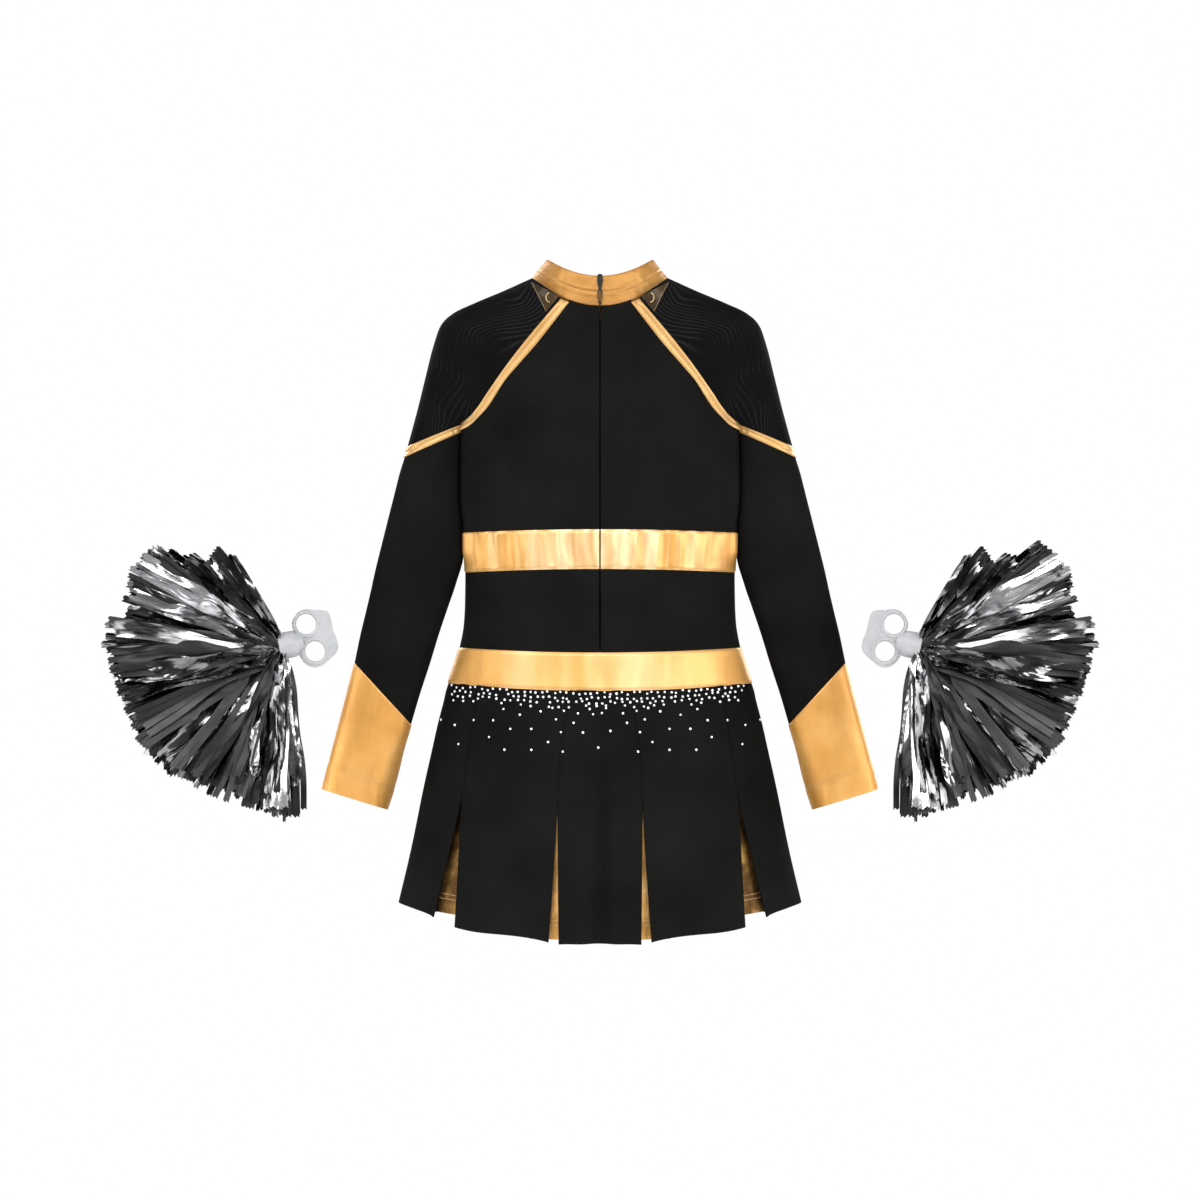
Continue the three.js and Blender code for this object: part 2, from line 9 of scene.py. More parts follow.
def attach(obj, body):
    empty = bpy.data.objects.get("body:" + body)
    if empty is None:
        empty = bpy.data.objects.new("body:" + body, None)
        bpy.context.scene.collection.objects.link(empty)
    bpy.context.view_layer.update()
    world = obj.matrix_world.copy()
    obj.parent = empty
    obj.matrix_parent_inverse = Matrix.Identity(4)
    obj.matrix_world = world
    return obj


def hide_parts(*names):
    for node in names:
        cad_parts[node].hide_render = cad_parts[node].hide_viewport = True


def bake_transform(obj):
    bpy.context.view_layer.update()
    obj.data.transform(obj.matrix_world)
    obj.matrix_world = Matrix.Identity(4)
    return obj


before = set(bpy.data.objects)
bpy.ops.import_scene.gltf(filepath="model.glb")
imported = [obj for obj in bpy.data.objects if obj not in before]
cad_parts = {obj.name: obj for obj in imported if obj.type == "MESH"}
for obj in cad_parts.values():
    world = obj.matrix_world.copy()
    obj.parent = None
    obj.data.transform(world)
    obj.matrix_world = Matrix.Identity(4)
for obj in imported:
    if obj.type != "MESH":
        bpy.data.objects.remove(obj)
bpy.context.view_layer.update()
MM = 0.001
TAU = 2 * math.pi

# ------------------------------------------------------------------ materials


class Nodes:
    """A small helper that writes node trees tersely."""

    def __init__(self, name):
        self.mat = bpy.data.materials.new(name)
        self.mat.use_nodes = True
        self.t = self.mat.node_tree
        self.b = self.t.nodes["Principled BSDF"]
        self.out = self.t.nodes["Material Output"]

    def new(self, kind, **values):
        n = self.t.nodes.new(kind)
        for k, v in values.items():
            if k.startswith("i_"):
                key = k[2:].replace("_", " ")
                n.inputs[key].default_value = v
            else:
                setattr(n, k, v)
        return n

    def link(self, a, b):
        self.t.links.new(a, b)

    def uv(self, sx=1.0, sy=1.0):
        tc = self.new("ShaderNodeUVMap", uv_map="UVMap")
        m = self.new("ShaderNodeMapping")
        m.inputs["Scale"].default_value = (sx, sy, 1)
        self.link(tc.outputs["UV"], m.inputs["Vector"])
        return m.outputs["Vector"]

    def obj(self, s=1.0):
        tc = self.new("ShaderNodeTexCoord")
        m = self.new("ShaderNodeMapping")
        m.inputs["Scale"].default_value = (s, s, s)
        self.link(tc.outputs["Object"], m.inputs["Vector"])
        return m.outputs["Vector"]

    def noise(self, vec, scale, detail=3.0, rough=0.55, dist=0.0):
        n = self.new("ShaderNodeTexNoise")
        n.inputs["Scale"].default_value = scale
        n.inputs["Detail"].default_value = detail
        n.inputs["Roughness"].default_value = rough
        n.inputs["Distortion"].default_value = dist
        self.link(vec, n.inputs["Vector"])
        return n.outputs["Fac"]

    def wave(self, vec, scale, direction="X", dist=0.0, detail=2.0, dscale=1.0):
        n = self.new("ShaderNodeTexWave", bands_direction=direction)
        n.inputs["Scale"].default_value = scale
        n.inputs["Distortion"].default_value = dist
        n.inputs["Detail"].default_value = detail
        n.inputs["Detail Scale"].default_value = dscale
        self.link(vec, n.inputs["Vector"])
        return n.outputs["Fac"]

    def ramp(self, fac, stops):
        r = self.new("ShaderNodeValToRGB")
        e = r.color_ramp.elements
        while len(e) > 1:
            e.remove(e[-1])
        e[0].position, e[0].color = stops[0][0], (*stops[0][1], 1) if len(stops[0][1]) == 3 else stops[0][1]
        for p, c in stops[1:]:
            x = e.new(p)
            x.color = (*c, 1)
        self.link(fac, r.inputs["Fac"])
        return r.outputs["Color"]

    def math(self, op, a, b=None):
        n = self.new("ShaderNodeMath", operation=op)
        for i, v in enumerate((a, b)):
            if v is None:
                continue
            if isinstance(v, (int, float)):
                n.inputs[i].default_value = v
            else:
                self.link(v, n.inputs[i])
        return n.outputs[0]

    def bump(self, height, strength, distance, prev=None):
        n = self.new("ShaderNodeBump")
        n.inputs["Strength"].default_value = strength
        n.inputs["Distance"].default_value = distance
        self.link(height, n.inputs["Height"])
        if prev is not None:
            self.link(prev, n.inputs["Normal"])
        return n.outputs["Normal"]

    def range(self, fac, lo, hi, start=0.0, end=1.0):
        n = self.new("ShaderNodeMapRange")
        n.inputs["From Min"].default_value = start
        n.inputs["From Max"].default_value = end
        n.inputs["To Min"].default_value = lo
        n.inputs["To Max"].default_value = hi
        self.link(fac, n.inputs["Value"])
        return n.outputs["Result"]


def knit_material(name, dark, light, rough=0.86, sheen=0.0, rib=900.0, spec=0.14):
    m = Nodes(name)
    uv = m.uv()
    ribs = m.wave(uv, rib / TAU * 1.0, "X", 0.6, 2.0, 30.0)
    rows = m.wave(uv, rib * 0.8 / TAU, "Y", 0.8, 2.0, 30.0)
    loops = m.math("MULTIPLY", ribs, rows)
    fibre = m.noise(uv, 2600.0, 4.0, 0.7)
    cloudy = m.noise(m.obj(), 16.0, 3.0, 0.5)
    mix = m.math("ADD", m.math("MULTIPLY", fibre, 0.55), m.math("MULTIPLY", cloudy, 0.45))
    m.link(m.ramp(mix, [(0.30, dark), (0.70, light)]), m.b.inputs["Base Color"])
    m.link(m.range(fibre, rough - 0.08, rough + 0.1), m.b.inputs["Roughness"])
    n = m.bump(loops, 0.35, 0.0003)
    n = m.bump(fibre, 0.25, 0.0002, n)
    m.link(n, m.b.inputs["Normal"])
    m.b.inputs["Sheen Weight"].default_value = sheen
    m.b.inputs["Sheen Roughness"].default_value = 0.45
    m.b.inputs["Specular IOR Level"].default_value = spec
    return m.mat


def gold_material(name, c_dark, c_mid, c_light, rough=0.34, ripple=0.5, metal=0.82, coat=0.3, painted_highlight=0.0, highlight_color=(1.0, 0.80, 0.47), highlight_runs_per=62.0, soft=0.09):
    m = Nodes(name)
    uv = m.uv()
    pull = m.noise(m.uv(70.0, 14.0), 1.0, 2.0, 0.5, 0.4)  # slack and pull across the strip
    grain = m.noise(uv, 1500.0, 3.0, 0.65)
    worn = m.noise(m.obj(), 26.0, 4.0, 0.6)
    speck = m.noise(uv, 5200.0, 2.0, 0.7)
    mix = m.math("ADD", m.math("MULTIPLY", worn, 0.5), m.math("ADD", m.math("MULTIPLY", grain, 0.28), m.math("MULTIPLY", speck, 0.22)))
    col = m.ramp(mix, [(0.34, c_dark), (0.5, c_mid), (0.66, c_light)])
    if painted_highlight:
        # painted highlight: pale runs mixed into the colour near the body's centre line and faded towards the sides,
        # where the front of the band faces the lamps
        runs = m.ramp(m.noise(m.uv(highlight_runs_per, 3.2), 1.0, 2.0, 0.5, 0.7), [(0.51 - soft, (0.0, 0.0, 0.0)), (0.51 + soft, (1, 1, 1))])
        mixer = m.new("ShaderNodeMix", data_type="RGBA")
        tc = m.new("ShaderNodeTexCoord")
        sep = m.new("ShaderNodeSeparateXYZ")
        m.link(tc.outputs["Object"], sep.inputs[0])
        # mask of the painted highlight: full within 30 mm of the centre line, down to 0.15 beyond 125 mm
        mid = m.range(m.math("ABSOLUTE", sep.outputs["X"]), 1.0, 0.15, 0.03, 0.125)
        m.link(m.math("MULTIPLY", m.math("MULTIPLY", runs, painted_highlight), mid), mixer.inputs["Factor"])
        m.link(col, mixer.inputs["A"])
        mixer.inputs["B"].default_value = (*highlight_color, 1)
        col = mixer.outputs["Result"]
    m.link(col, m.b.inputs["Base Color"])
    m.link(m.range(m.math("ADD", m.math("MULTIPLY", grain, 0.6), m.math("MULTIPLY", worn, 0.4)), rough - 0.06, rough + 0.14), m.b.inputs["Roughness"])
    ribs = m.wave(uv, 1000.0 / TAU, "X", 0.5, 2.0, 20.0)
    n = m.bump(pull, ripple, 0.0016)
    n = m.bump(ribs, 0.14, 0.00016, n)
    n = m.bump(grain, 0.3, 0.00022, n)
    m.link(n, m.b.inputs["Normal"])
    m.b.inputs["Metallic"].default_value = metal
    m.b.inputs["Coat Weight"].default_value = coat
    m.b.inputs["Coat Roughness"].default_value = 0.38
    return m.mat


def mesh_material(name):
    m = Nodes(name)
    uv = m.uv()
    # two nets that slide over each other give the watered lines
    def net(scale, direction, dist, dscale):
        n = m.new("ShaderNodeTexWave", bands_direction=direction)
        n.inputs["Scale"].default_value = scale
        n.inputs["Distortion"].default_value = dist
        n.inputs["Detail"].default_value = 0.4
        n.inputs["Detail Scale"].default_value = dscale
        m.link(uv, n.inputs["Vector"])
        return n.outputs["Fac"]
    lines = m.math("MAXIMUM", m.math("POWER", net(62.0, "X", 34.0, 0.30), 3.0), m.math("MULTIPLY", m.math("POWER", net(58.0, "Y", 22.0, 0.20), 6.0), 0.22))
    patch = m.ramp(m.noise(uv, 14.0, 2.0, 0.5), [(0.36, (0.0, 0.0, 0.0)), (0.60, (1, 1, 1))])
    water = m.math("MULTIPLY", lines, patch)
    holes = m.math("MULTIPLY", m.wave(uv, 210.0, "X"), m.wave(uv, 210.0, "Y"))
    base = m.ramp(water, [(0.0, (0.0050, 0.0050, 0.0053)), (0.3, (0.0066, 0.0066, 0.0070)), (1.0, (0.0160, 0.0160, 0.0172))])
    m.link(base, m.b.inputs["Base Color"])
    m.b.inputs["Roughness"].default_value = 0.7
    m.b.inputs["Specular IOR Level"].default_value = 0.16
    m.link(m.bump(holes, 0.3, 0.0003), m.b.inputs["Normal"])
    m.link(m.range(holes, 0.985, 0.93), m.b.inputs["Alpha"])
    return m.mat


def film_material(name, dark, light, rough, metallic=1.0, bump=0.8, patch=False):
    m = Nodes(name)
    uv = m.uv(1.0, 0.55)
    warp = m.noise(uv, 20.0, 1.0, 0.4, 0.5)
    fold = m.noise(uv, 62.0, 2.0, 0.45, 1.4)
    crease = m.new("ShaderNodeTexVoronoi", feature="DISTANCE_TO_EDGE")
    crease.inputs["Scale"].default_value = 52.0
    m.link(uv, crease.inputs["Vector"])
    fine = m.noise(m.uv(), 900.0, 3.0, 0.6)
    # with patches, broad bright areas of base colour on the metallic film stand for reflections of the lamps: painted
    # reflection
    if patch:
        big = m.noise(m.uv(1.0, 0.4), 26.0, 2.0, 0.5, 0.3)
        shade = m.math("ADD", m.math("MULTIPLY", big, 0.75), m.math("MULTIPLY", fold, 0.25))
        m.link(m.ramp(shade, [(0.42, dark), (0.52, light)]), m.b.inputs["Base Color"])
    else:
        m.link(m.ramp(fold, [(0.35, dark), (0.7, light)]), m.b.inputs["Base Color"])
    m.link(m.range(fine, rough * 0.6, rough * 1.5), m.b.inputs["Roughness"])
    n = m.bump(warp, bump * 0.8, 0.016)
    n = m.bump(crease.outputs["Distance"], bump * 0.55, 0.0040, n)
    n = m.bump(fold, bump * 0.55, 0.0036, n)
    n = m.bump(fine, bump * 0.12, 0.0004, n)
    m.link(n, m.b.inputs["Normal"])
    m.b.inputs["Metallic"].default_value = metallic
    return m.mat


def plastic_material(name, c1, c2, rough):
    m = Nodes(name)
    big = m.noise(m.obj(), 55.0, 3.0, 0.5)
    fine = m.noise(m.obj(), 1800.0, 3.0, 0.6)
    m.link(m.ramp(big, [(0.3, c1), (0.7, c2)]), m.b.inputs["Base Color"])
    m.link(m.range(fine, rough - 0.06, rough + 0.1), m.b.inputs["Roughness"])
    m.link(m.bump(fine, 0.12, 0.0002), m.b.inputs["Normal"])
    m.b.inputs["Subsurface Weight"].default_value = 0.06
    m.b.inputs["Subsurface Scale"].default_value = 0.003
    return m.mat


def enamel_material(name):
    m = Nodes(name)
    big = m.noise(m.obj(), 400.0, 3.0, 0.5)
    worn = m.noise(m.obj(), 1500.0, 4.0, 0.7)
    m.link(m.ramp(worn, [(0.3, (0.01, 0.01, 0.011)), (0.72, (0.03, 0.028, 0.026)), (0.8, (0.16, 0.13, 0.1))]), m.b.inputs["Base Color"])
    m.link(m.range(big, 0.18, 0.36), m.b.inputs["Roughness"])
    m.b.inputs["Metallic"].default_value = 0.6
    return m.mat


def stone_material(name):
    m = Nodes(name)
    v = m.noise(m.obj(), 900.0, 1.0, 0.5)
    m.link(m.ramp(v, [(0.35, (0.78, 0.80, 0.86)), (0.65, (0.98, 0.98, 1.0))]), m.b.inputs["Base Color"])
    m.link(m.range(v, 0.03, 0.12), m.b.inputs["Roughness"])
    m.b.inputs["Metallic"].default_value = 0.35
    m.b.inputs["IOR"].default_value = 1.9
    # the stones glow faintly white: a painted glint
    m.b.inputs["Emission Color"].default_value = (1, 1, 1, 1)
    m.b.inputs["Emission Strength"].default_value = 0.25
    return m.mat


def thread_material(name, c1, c2):
    m = Nodes(name)
    w = m.wave(m.obj(), 900.0, "DIAGONAL", 0.5)
    m.link(m.ramp(w, [(0.2, c1), (0.8, c2)]), m.b.inputs["Base Color"])
    m.b.inputs["Roughness"].default_value = 0.55
    m.link(m.bump(w, 0.4, 0.0002), m.b.inputs["Normal"])
    return m.mat


BLACK = knit_material("black_knit", (0.0044, 0.0044, 0.0043), (0.0118, 0.0116, 0.0112))
# the hip bands (GOLD) and waist bands (GOLD_WAIST) carry a painted highlight: pale runs near the centre line
GOLD = gold_material("gold_knit", (0.60, 0.27, 0.042), (0.69, 0.335, 0.066), (0.77, 0.41, 0.105), 0.40, 0.4, 0.5, 0.22, 0.85, (0.95, 0.68, 0.35), 20.0, 0.22)
GOLD_WAIST = gold_material("gold_knit_waist_highlight", (0.56, 0.25, 0.040), (0.65, 0.315, 0.062), (0.74, 0.39, 0.10), 0.38, 0.9, 0.5, 0.22, 1.0, (0.95, 0.70, 0.40), 55.0, 0.15)
GOLD_DEEP = gold_material("gold_knit_deep", (0.74, 0.335, 0.06), (0.87, 0.435, 0.105), (0.96, 0.55, 0.18), 0.42, 0.9, 0.40, 0.12)
# the collar gets a darker copy of the band gold, about half as bright: painted shade
GOLD_COLLAR = gold_material("gold_knit_collar_shaded", (0.36, 0.155, 0.024), (0.46, 0.215, 0.042), (0.57, 0.30, 0.075), 0.44, 0.8, 0.45, 0.10, 0.0)
# the skirt inserts get darker copies of the band gold: painted shade of the recess between the pleats, deepest on the
# outer inserts; the bright grains are the knit's own
GOLD_INSERT = gold_material("gold_knit_insert_shaded", (0.20, 0.090, 0.018), (0.42, 0.215, 0.050), (0.86, 0.56, 0.23), 0.42, 0.8, 0.6, 0.03, 0.0)
GOLD_SHADE = gold_material("gold_knit_grainy_shaded", (0.012, 0.006, 0.0015), (0.070, 0.032, 0.007), (0.62, 0.36, 0.10), 0.42, 0.9, 0.85, 0.0)
GOLD_PIPING = gold_material("gold_piping", (0.52, 0.27, 0.075), (0.62, 0.36, 0.125), (0.74, 0.49, 0.22), 0.40, 0.5, 0.45, 0.12, 0.0)
BRONZE = gold_material("bronze_facing", (0.016, 0.008, 0.002), (0.040, 0.021, 0.006), (0.095, 0.055, 0.018), 0.36, 0.8, 0.3, 0.0)
for fabric in (BLACK,):
    fabric.node_tree.nodes["Principled BSDF"].inputs["IOR"].default_value = 1.14
SHEER = mesh_material("sheer_mesh")
SHEER.node_tree.nodes["Principled BSDF"].inputs["IOR"].default_value = 1.12
FILM = film_material("metallic_film", (0.045, 0.045, 0.047), (0.26, 0.26, 0.265), 0.14)
FILM_BRIGHT = film_material("metallic_film_lit", (0.04, 0.04, 0.042), (0.80, 0.80, 0.82), 0.2, 0.9, 0.55, True)
FILM_MATT = film_material("film_matt_side", (0.0045, 0.0045, 0.005), (0.014, 0.014, 0.0145), 0.45, 0.1, 0.25)
FILM_GREY = film_material("film_grey_side", (0.035, 0.035, 0.036), (0.065, 0.065, 0.066), 0.5, 0.1, 0.25)
PLASTIC = plastic_material("handle_plastic", (0.37, 0.375, 0.385), (0.45, 0.455, 0.465), 0.42)
ENAMEL = enamel_material("black_enamel")
STONE = stone_material("rhinestone")
THREAD_GOLD = thread_material("thread_gold", (0.62, 0.38, 0.14), (0.95, 0.72, 0.40))
THREAD_BLACK = thread_material("thread_black", (0.006, 0.006, 0.006), (0.03, 0.03, 0.03))
TAPE = knit_material("zip_tape", (0.0015, 0.0015, 0.0015), (0.004, 0.004, 0.004), 0.8, 0.0, 2600.0, 0.05)
TAPE.node_tree.nodes["Principled BSDF"].inputs["IOR"].default_value = 1.1

# ------------------------------------------------------------------ numbers and surfaces


class Smooth:
    """Monotone cubic interpolation of one or more columns."""

    def __init__(self, x, y):
        x, y = np.asarray(x, float), np.asarray(y, float)
        if x[0] > x[-1]:
            x, y = x[::-1], y[::-1]
        self.one = y.ndim == 1
        if self.one:
            y = y[:, None]
        h = np.diff(x)[:, None]
        d = np.diff(y, axis=0) / h
        m = np.zeros_like(y)
        m[0], m[-1] = d[0], d[-1]
        if len(x) > 2:
            w1, w2 = 2 * h[1:] + h[:-1], h[1:] + 2 * h[:-1]
            ok = d[1:] * d[:-1] > 0
            a, b = np.where(ok, d[:-1], 1), np.where(ok, d[1:], 1)
            m[1:-1] = np.where(ok, (w1 + w2) / (w1 / a + w2 / b), 0)
        self.x, self.y, self.h, self.m = x, y, h, m

    def __call__(self, t):
        t = np.asarray(t, float)
        s = np.clip(t, self.x[0], self.x[-1])
        i = np.clip(np.searchsorted(self.x, s, side="right") - 1, 0, len(self.x) - 2)
        h = self.h[i, 0][..., None]
        u = ((s - self.x[i])[..., None]) / h
        y0, y1, m0, m1 = self.y[i], self.y[i + 1], self.m[i] * h, self.m[i + 1] * h
        v = y0 * (2 * u**3 - 3 * u**2 + 1) + m0 * (u**3 - 2 * u**2 + u) + y1 * (3 * u**2 - 2 * u**3) + m1 * (u**3 - u**2)
        return v[..., 0] if self.one else v


# z, half width, y of the side seam, y of the back, y of the front
TORSO = np.array([
    [22, 68, -12, -18, -6], [14, 82, -12, -33, 8], [8, 96, -11, -50, 20], [1, 118, -9, -57, 29], [-6, 132, -7, -60, 33],
    [-14, 138, -5, -60, 37], [-30, 142, -3, -60, 44], [-49, 144, 0, -60, 50], [-90, 141, 0, -60, 57], [-135, 136.5, 0, -60, 60],
    [-180, 137, 0, -60, 60], [-215, 136.6, 0, -60, 56], [-231, 136.2, 0, -60, 55], [-252, 136.0, 0, -60, 53], [-271, 135.2, 0, -60, 51], [-305, 135.6, 0, -60, 50], [-325, 136.8, 0, -60, 51],
    [-343, 139.9, 0, -60.3, 54], [-360, 144.6, 0, -61, 56.5], [-378, 150.4, 0, -62, 59], [-391, 154.6, 0, -63, 61]], float)
T = Smooth(TORSO[:, 0], TORSO[:, 1:])


def smoothstep(a, b, x):
    t = np.clip((x - a) / (b - a), 0, 1)
    return t * t * (3 - 2 * t)


def torso_relief(x, y, z, front):
    """Soft drape of the knit over the body, in mm outward."""
    side = 1.0 if front is None else 1.0
    up = smoothstep(-150, -231, z) * smoothstep(-250, -228, z)
    r = 0.75 * up * np.sin(TAU * x / 21.0 + 1.4 * np.sin(x / 17.0))
    r += 0.5 * smoothstep(-318, -272, z) * smoothstep(-262, -272, z) * np.sin(TAU * x / 27.0 + 0.8)
    r += 0.7 * np.sin(x / 29.0 + z / 41.0) * np.sin(z / 57.0 - x / 63.0)
    # folds that fall from the shoulder blades
    f = smoothstep(-40, -90, z) * smoothstep(-225, -150, z)
    for cx, k, a in ((-38, 0.18, 1.5), (34, -0.16, 1.3), (-92, 0.1, 1.1), (95, -0.12, 1.1)):
        d = x - (cx + k * (z + 60))
        r += a * f * (np.exp(-((d / 7.0) ** 2)) - 0.55 * np.exp(-(((d - 13) / 8.0) ** 2)))
    # the relief dies out at the side seams, and the bodice overhangs the sleeve's inner edge there
    a = np.abs(x)
    r *= smoothstep(136.5, 118.0, a)
    over = np.exp(-(((y + 12.5) / 6.2) ** 2)) + np.exp(-(((y - 12.5) / 6.2) ** 2))
    r += (3.6 + 2.8 * smoothstep(-226, -198, z)) * over * smoothstep(100, 118, a) * smoothstep(-112, -130, z) * smoothstep(-268, -250, z)
    return r * side


def band_relief(x, z, z0, z1, seed):
    """Ripples of a stretched metallic strip between heights z0 (top) and z1."""
    g = np.random.default_rng(seed)
    v = np.clip((z0 - z) / (z0 - z1), 0, 1)
    mid = np.sin(np.pi * v) ** 0.6
    r = np.zeros_like(x)
    for _ in range(26):
        cx, w, a, lean = g.uniform(-140, 140), g.uniform(2.2, 6.5), g.uniform(-0.85, 0.85), g.uniform(-9, 9)
        r += a * np.exp(-(((x - cx - lean * (v - 0.5)) / w) ** 2))
    return 0.25 + 0.9 * r * mid


def torso_at(phi, z, lift=0.0, relief=None):
    """phi 0 at the centre back, pi/2 at the left side, pi at the centre front; negative phi is the right side."""
    phi, z = np.broadcast_arrays(np.asarray(phi, float), np.asarray(z, float))
    w, c, b, f = np.moveaxis(T(z), -1, 0)
    co, si = np.cos(phi), np.sin(phi)
    d = np.where(co > 0, c - b, f - c)
    x, y = -w * si, c - d * co
    nx, ny = x / w**2, (y - c) / d**2
    n = np.hypot(nx, ny) + 1e-12
    r = lift + torso_relief(x, y, z, None) + (relief(x, z) if relief else 0.0)
    return np.stack([x + nx / n * r, y + ny / n * r, z], -1)


def phi_at_x(x, z, front):
    w = T(z)[..., 0]
    p = np.arcsin(np.clip(-np.asarray(x, float) / w, -1, 1))
    return np.pi * np.sign(p + 1e-9) - p if front else p


SKIRT = Smooth([-372, -382, -391, -440, -483, -545, -642], [[148.4, 61.7, 2.0], [151.6, 62.4, 2.0], [154.6, 63.0, 2.0], [166.2, 72, 2.12], [176, 84, 2.3], [189, 98, 2.4], [209, 118, 2.5]])


def skirt_at(phi, z, lift=0.0):
    phi, z = np.broadcast_arrays(np.asarray(phi, float), np.asarray(z, float))
    w, d, n = np.moveaxis(SKIRT(z), -1, 0)
    si, co = np.sin(phi), np.cos(phi)
    x = -w * np.sign(si) * np.abs(si) ** (2 / n)
    y = -d * np.sign(co) * np.abs(co) ** (2 / n)
    nx = np.sign(x) * (np.abs(x) / w) ** (n - 1) / w
    ny = np.sign(y) * (np.abs(y) / d) ** (n - 1) / d
    m = np.hypot(nx, ny) + 1e-12
    return np.stack([x + nx / m * lift, y + ny / m * lift, z], -1), np.stack([nx / m, ny / m, 0 * nx], -1)


def skirt_phi(x, z, front=False):
    w, _, n = np.moveaxis(SKIRT(z), -1, 0)
    p = np.arcsin(np.clip((np.abs(x) / w), 0, 1) ** (n / 2)) * -np.sign(x)
    return np.pi * np.sign(p + 1e-9) - p if front else p


# ------------------------------------------------------------------ mesh making

SHEETS = []


def arc(P, axis):
    d = np.linalg.norm(np.diff(P, axis=axis), axis=-1)
    z = np.zeros([1 if k == axis else s for k, s in enumerate(d.shape)])
    return np.concatenate([z, np.cumsum(d, axis=axis)], axis=axis)


def build(name, P, mat, thick=0.7, wrap=False, ref=None, UV=None, sharp=True):
    """A closed sheet of cloth from a grid P[v, u] of outer points in mm; thickness goes inwards, away from the side that faces out of ref."""
    P = np.asarray(P, float)
    nv, nu = P.shape[:2]
    if wrap:
        du = np.roll(P, -1, 1) - np.roll(P, 1, 1)
    else:
        du = np.gradient(P, axis=1)
    dv = np.gradient(P, axis=0)
    N = np.cross(du, dv)
    N /= np.linalg.norm(N, axis=-1, keepdims=True) + 1e-12
    ref = np.array([0, 0, 0.0]) if ref is None else np.asarray(ref, float)
    flip = np.sum(N * (P - ref)) < 0
    if flip:
        N = -N
    Q = P - N * thick
    n = nv * nu
    cols = nu if wrap else nu - 1
    i, j = np.meshgrid(np.arange(nv - 1), np.arange(cols), indexing="ij")
    j2 = (j + 1) % nu
    a, b, c, d = i * nu + j, i * nu + j2, (i + 1) * nu + j2, (i + 1) * nu + j
    quad = np.stack([a, b, c, d], -1).reshape(-1, 4)
    if UV is None:
        Pw = np.concatenate([P, P[:, :1]], 1) if wrap else P
        U, V = arc(Pw, 1), arc(Pw, 0)
        U = U - U[:, -1:] / 2
        UV = np.stack([U, V], -1) * MM
    ua = np.stack([UV[i, j], UV[i, j + 1], UV[i + 1, j + 1], UV[i + 1, j]], -2).reshape(-1, 4, 2)
    outer, inner = (quad[:, ::-1], quad + n) if flip else (quad, quad[:, ::-1] + n)
    uo, ui = (ua[:, ::-1], ua) if flip else (ua, ua[:, ::-1])
    rims, ur = [], []

    def rim(idx, closed, uvs):
        s, e = idx, np.roll(idx, -1)
        us, ue = uvs, np.roll(uvs, -1, 0)
        if not closed:
            s, e, us, ue = s[:-1], e[:-1], us[:-1], ue[:-1]
        q = np.stack([s, s + n, e + n, e], -1)
        u = np.stack([us, us, ue, ue], 1)
        if flip:
            q, u = q[:, ::-1], u[:, ::-1]
        rims.append(q)
        ur.append(u)

    g = np.arange(n).reshape(nv, nu)
    uvv = UV[:, :nu]
    if wrap:
        rim(g[0], True, uvv[0])
        rim(g[-1][::-1], True, uvv[-1][::-1])
    else:
        loop = np.concatenate([g[0], g[1:, -1], g[-1, ::-1][1:], g[::-1, 0][1:-1]])
        lu = np.concatenate([uvv[0], uvv[1:, -1], uvv[-1, ::-1][1:], uvv[::-1, 0][1:-1]])
        rim(loop, True, lu)
    faces = np.concatenate([outer, inner, *rims])
    uvs = np.concatenate([uo, ui, *ur]).reshape(-1, 2)
    me = bpy.data.meshes.new(name)
    co = np.concatenate([P.reshape(-1, 3), Q.reshape(-1, 3)]) * MM
    me.vertices.add(len(co))
    me.vertices.foreach_set("co", co.astype(np.float32).ravel())
    me.loops.add(faces.size)
    me.loops.foreach_set("vertex_index", faces.astype(np.int32).ravel())
    me.polygons.add(len(faces))
    me.polygons.foreach_set("loop_start", np.arange(0, faces.size, 4, dtype=np.int32))
    me.polygons.foreach_set("loop_total", np.full(len(faces), 4, np.int32))
    me.update(calc_edges=True)
    layer = me.uv_layers.new(name="UVMap")
    layer.data.foreach_set("uv", uvs.astype(np.float32).ravel())
    me.polygons.foreach_set("use_smooth", np.ones(len(faces), bool))
    me.validate()
    if sharp:
        rimset = np.zeros(2 * n, bool)
        edge_idx = np.concatenate([r.ravel() for r in rims])
        rimset[edge_idx] = True
        ev = np.zeros(len(me.edges) * 2, np.int32)
        me.edges.foreach_get("vertices", ev)
        ev = ev.reshape(-1, 2)
        both = rimset[ev[:, 0]] & rimset[ev[:, 1]]
        same = (ev[:, 0] < n) == (ev[:, 1] < n)
        at = me.attributes.new("sharp_edge", "BOOLEAN", "EDGE")
        at.data.foreach_set("value", (both & same))
    me.materials.append(mat)
    o = bpy.data.objects.new(name, me)
    bpy.context.scene.collection.objects.link(o)
    return o


def raw_mesh(name, verts, faces, mat, smooth=True, uvs=None):
    me = bpy.data.meshes.new(name)
    me.from_pydata([tuple(v) for v in verts], [], [tuple(f) for f in faces])
    if uvs is not None:
        layer = me.uv_layers.new(name="UVMap")
        layer.data.foreach_set("uv", np.asarray(uvs, np.float32).ravel())
    me.polygons.foreach_set("use_smooth", np.full(len(me.polygons), smooth))
    me.validate()
    me.update()
    me.materials.append(mat)
    o = bpy.data.objects.new(name, me)
    bpy.context.scene.collection.objects.link(o)
    return o


def mirror(P):
    Q = np.array(P, float)
    Q[..., 0] *= -1
    return Q


def place(o, body=None, blend=None, replaces=(), sheet=None):
    if blend:
        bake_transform(o)
    else:
        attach(o, body)
    if replaces:
        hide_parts(*replaces)
    if sheet:
        w, h, area, held, rests = sheet
        SHEETS.append((o.name, w, h, area))
    return o


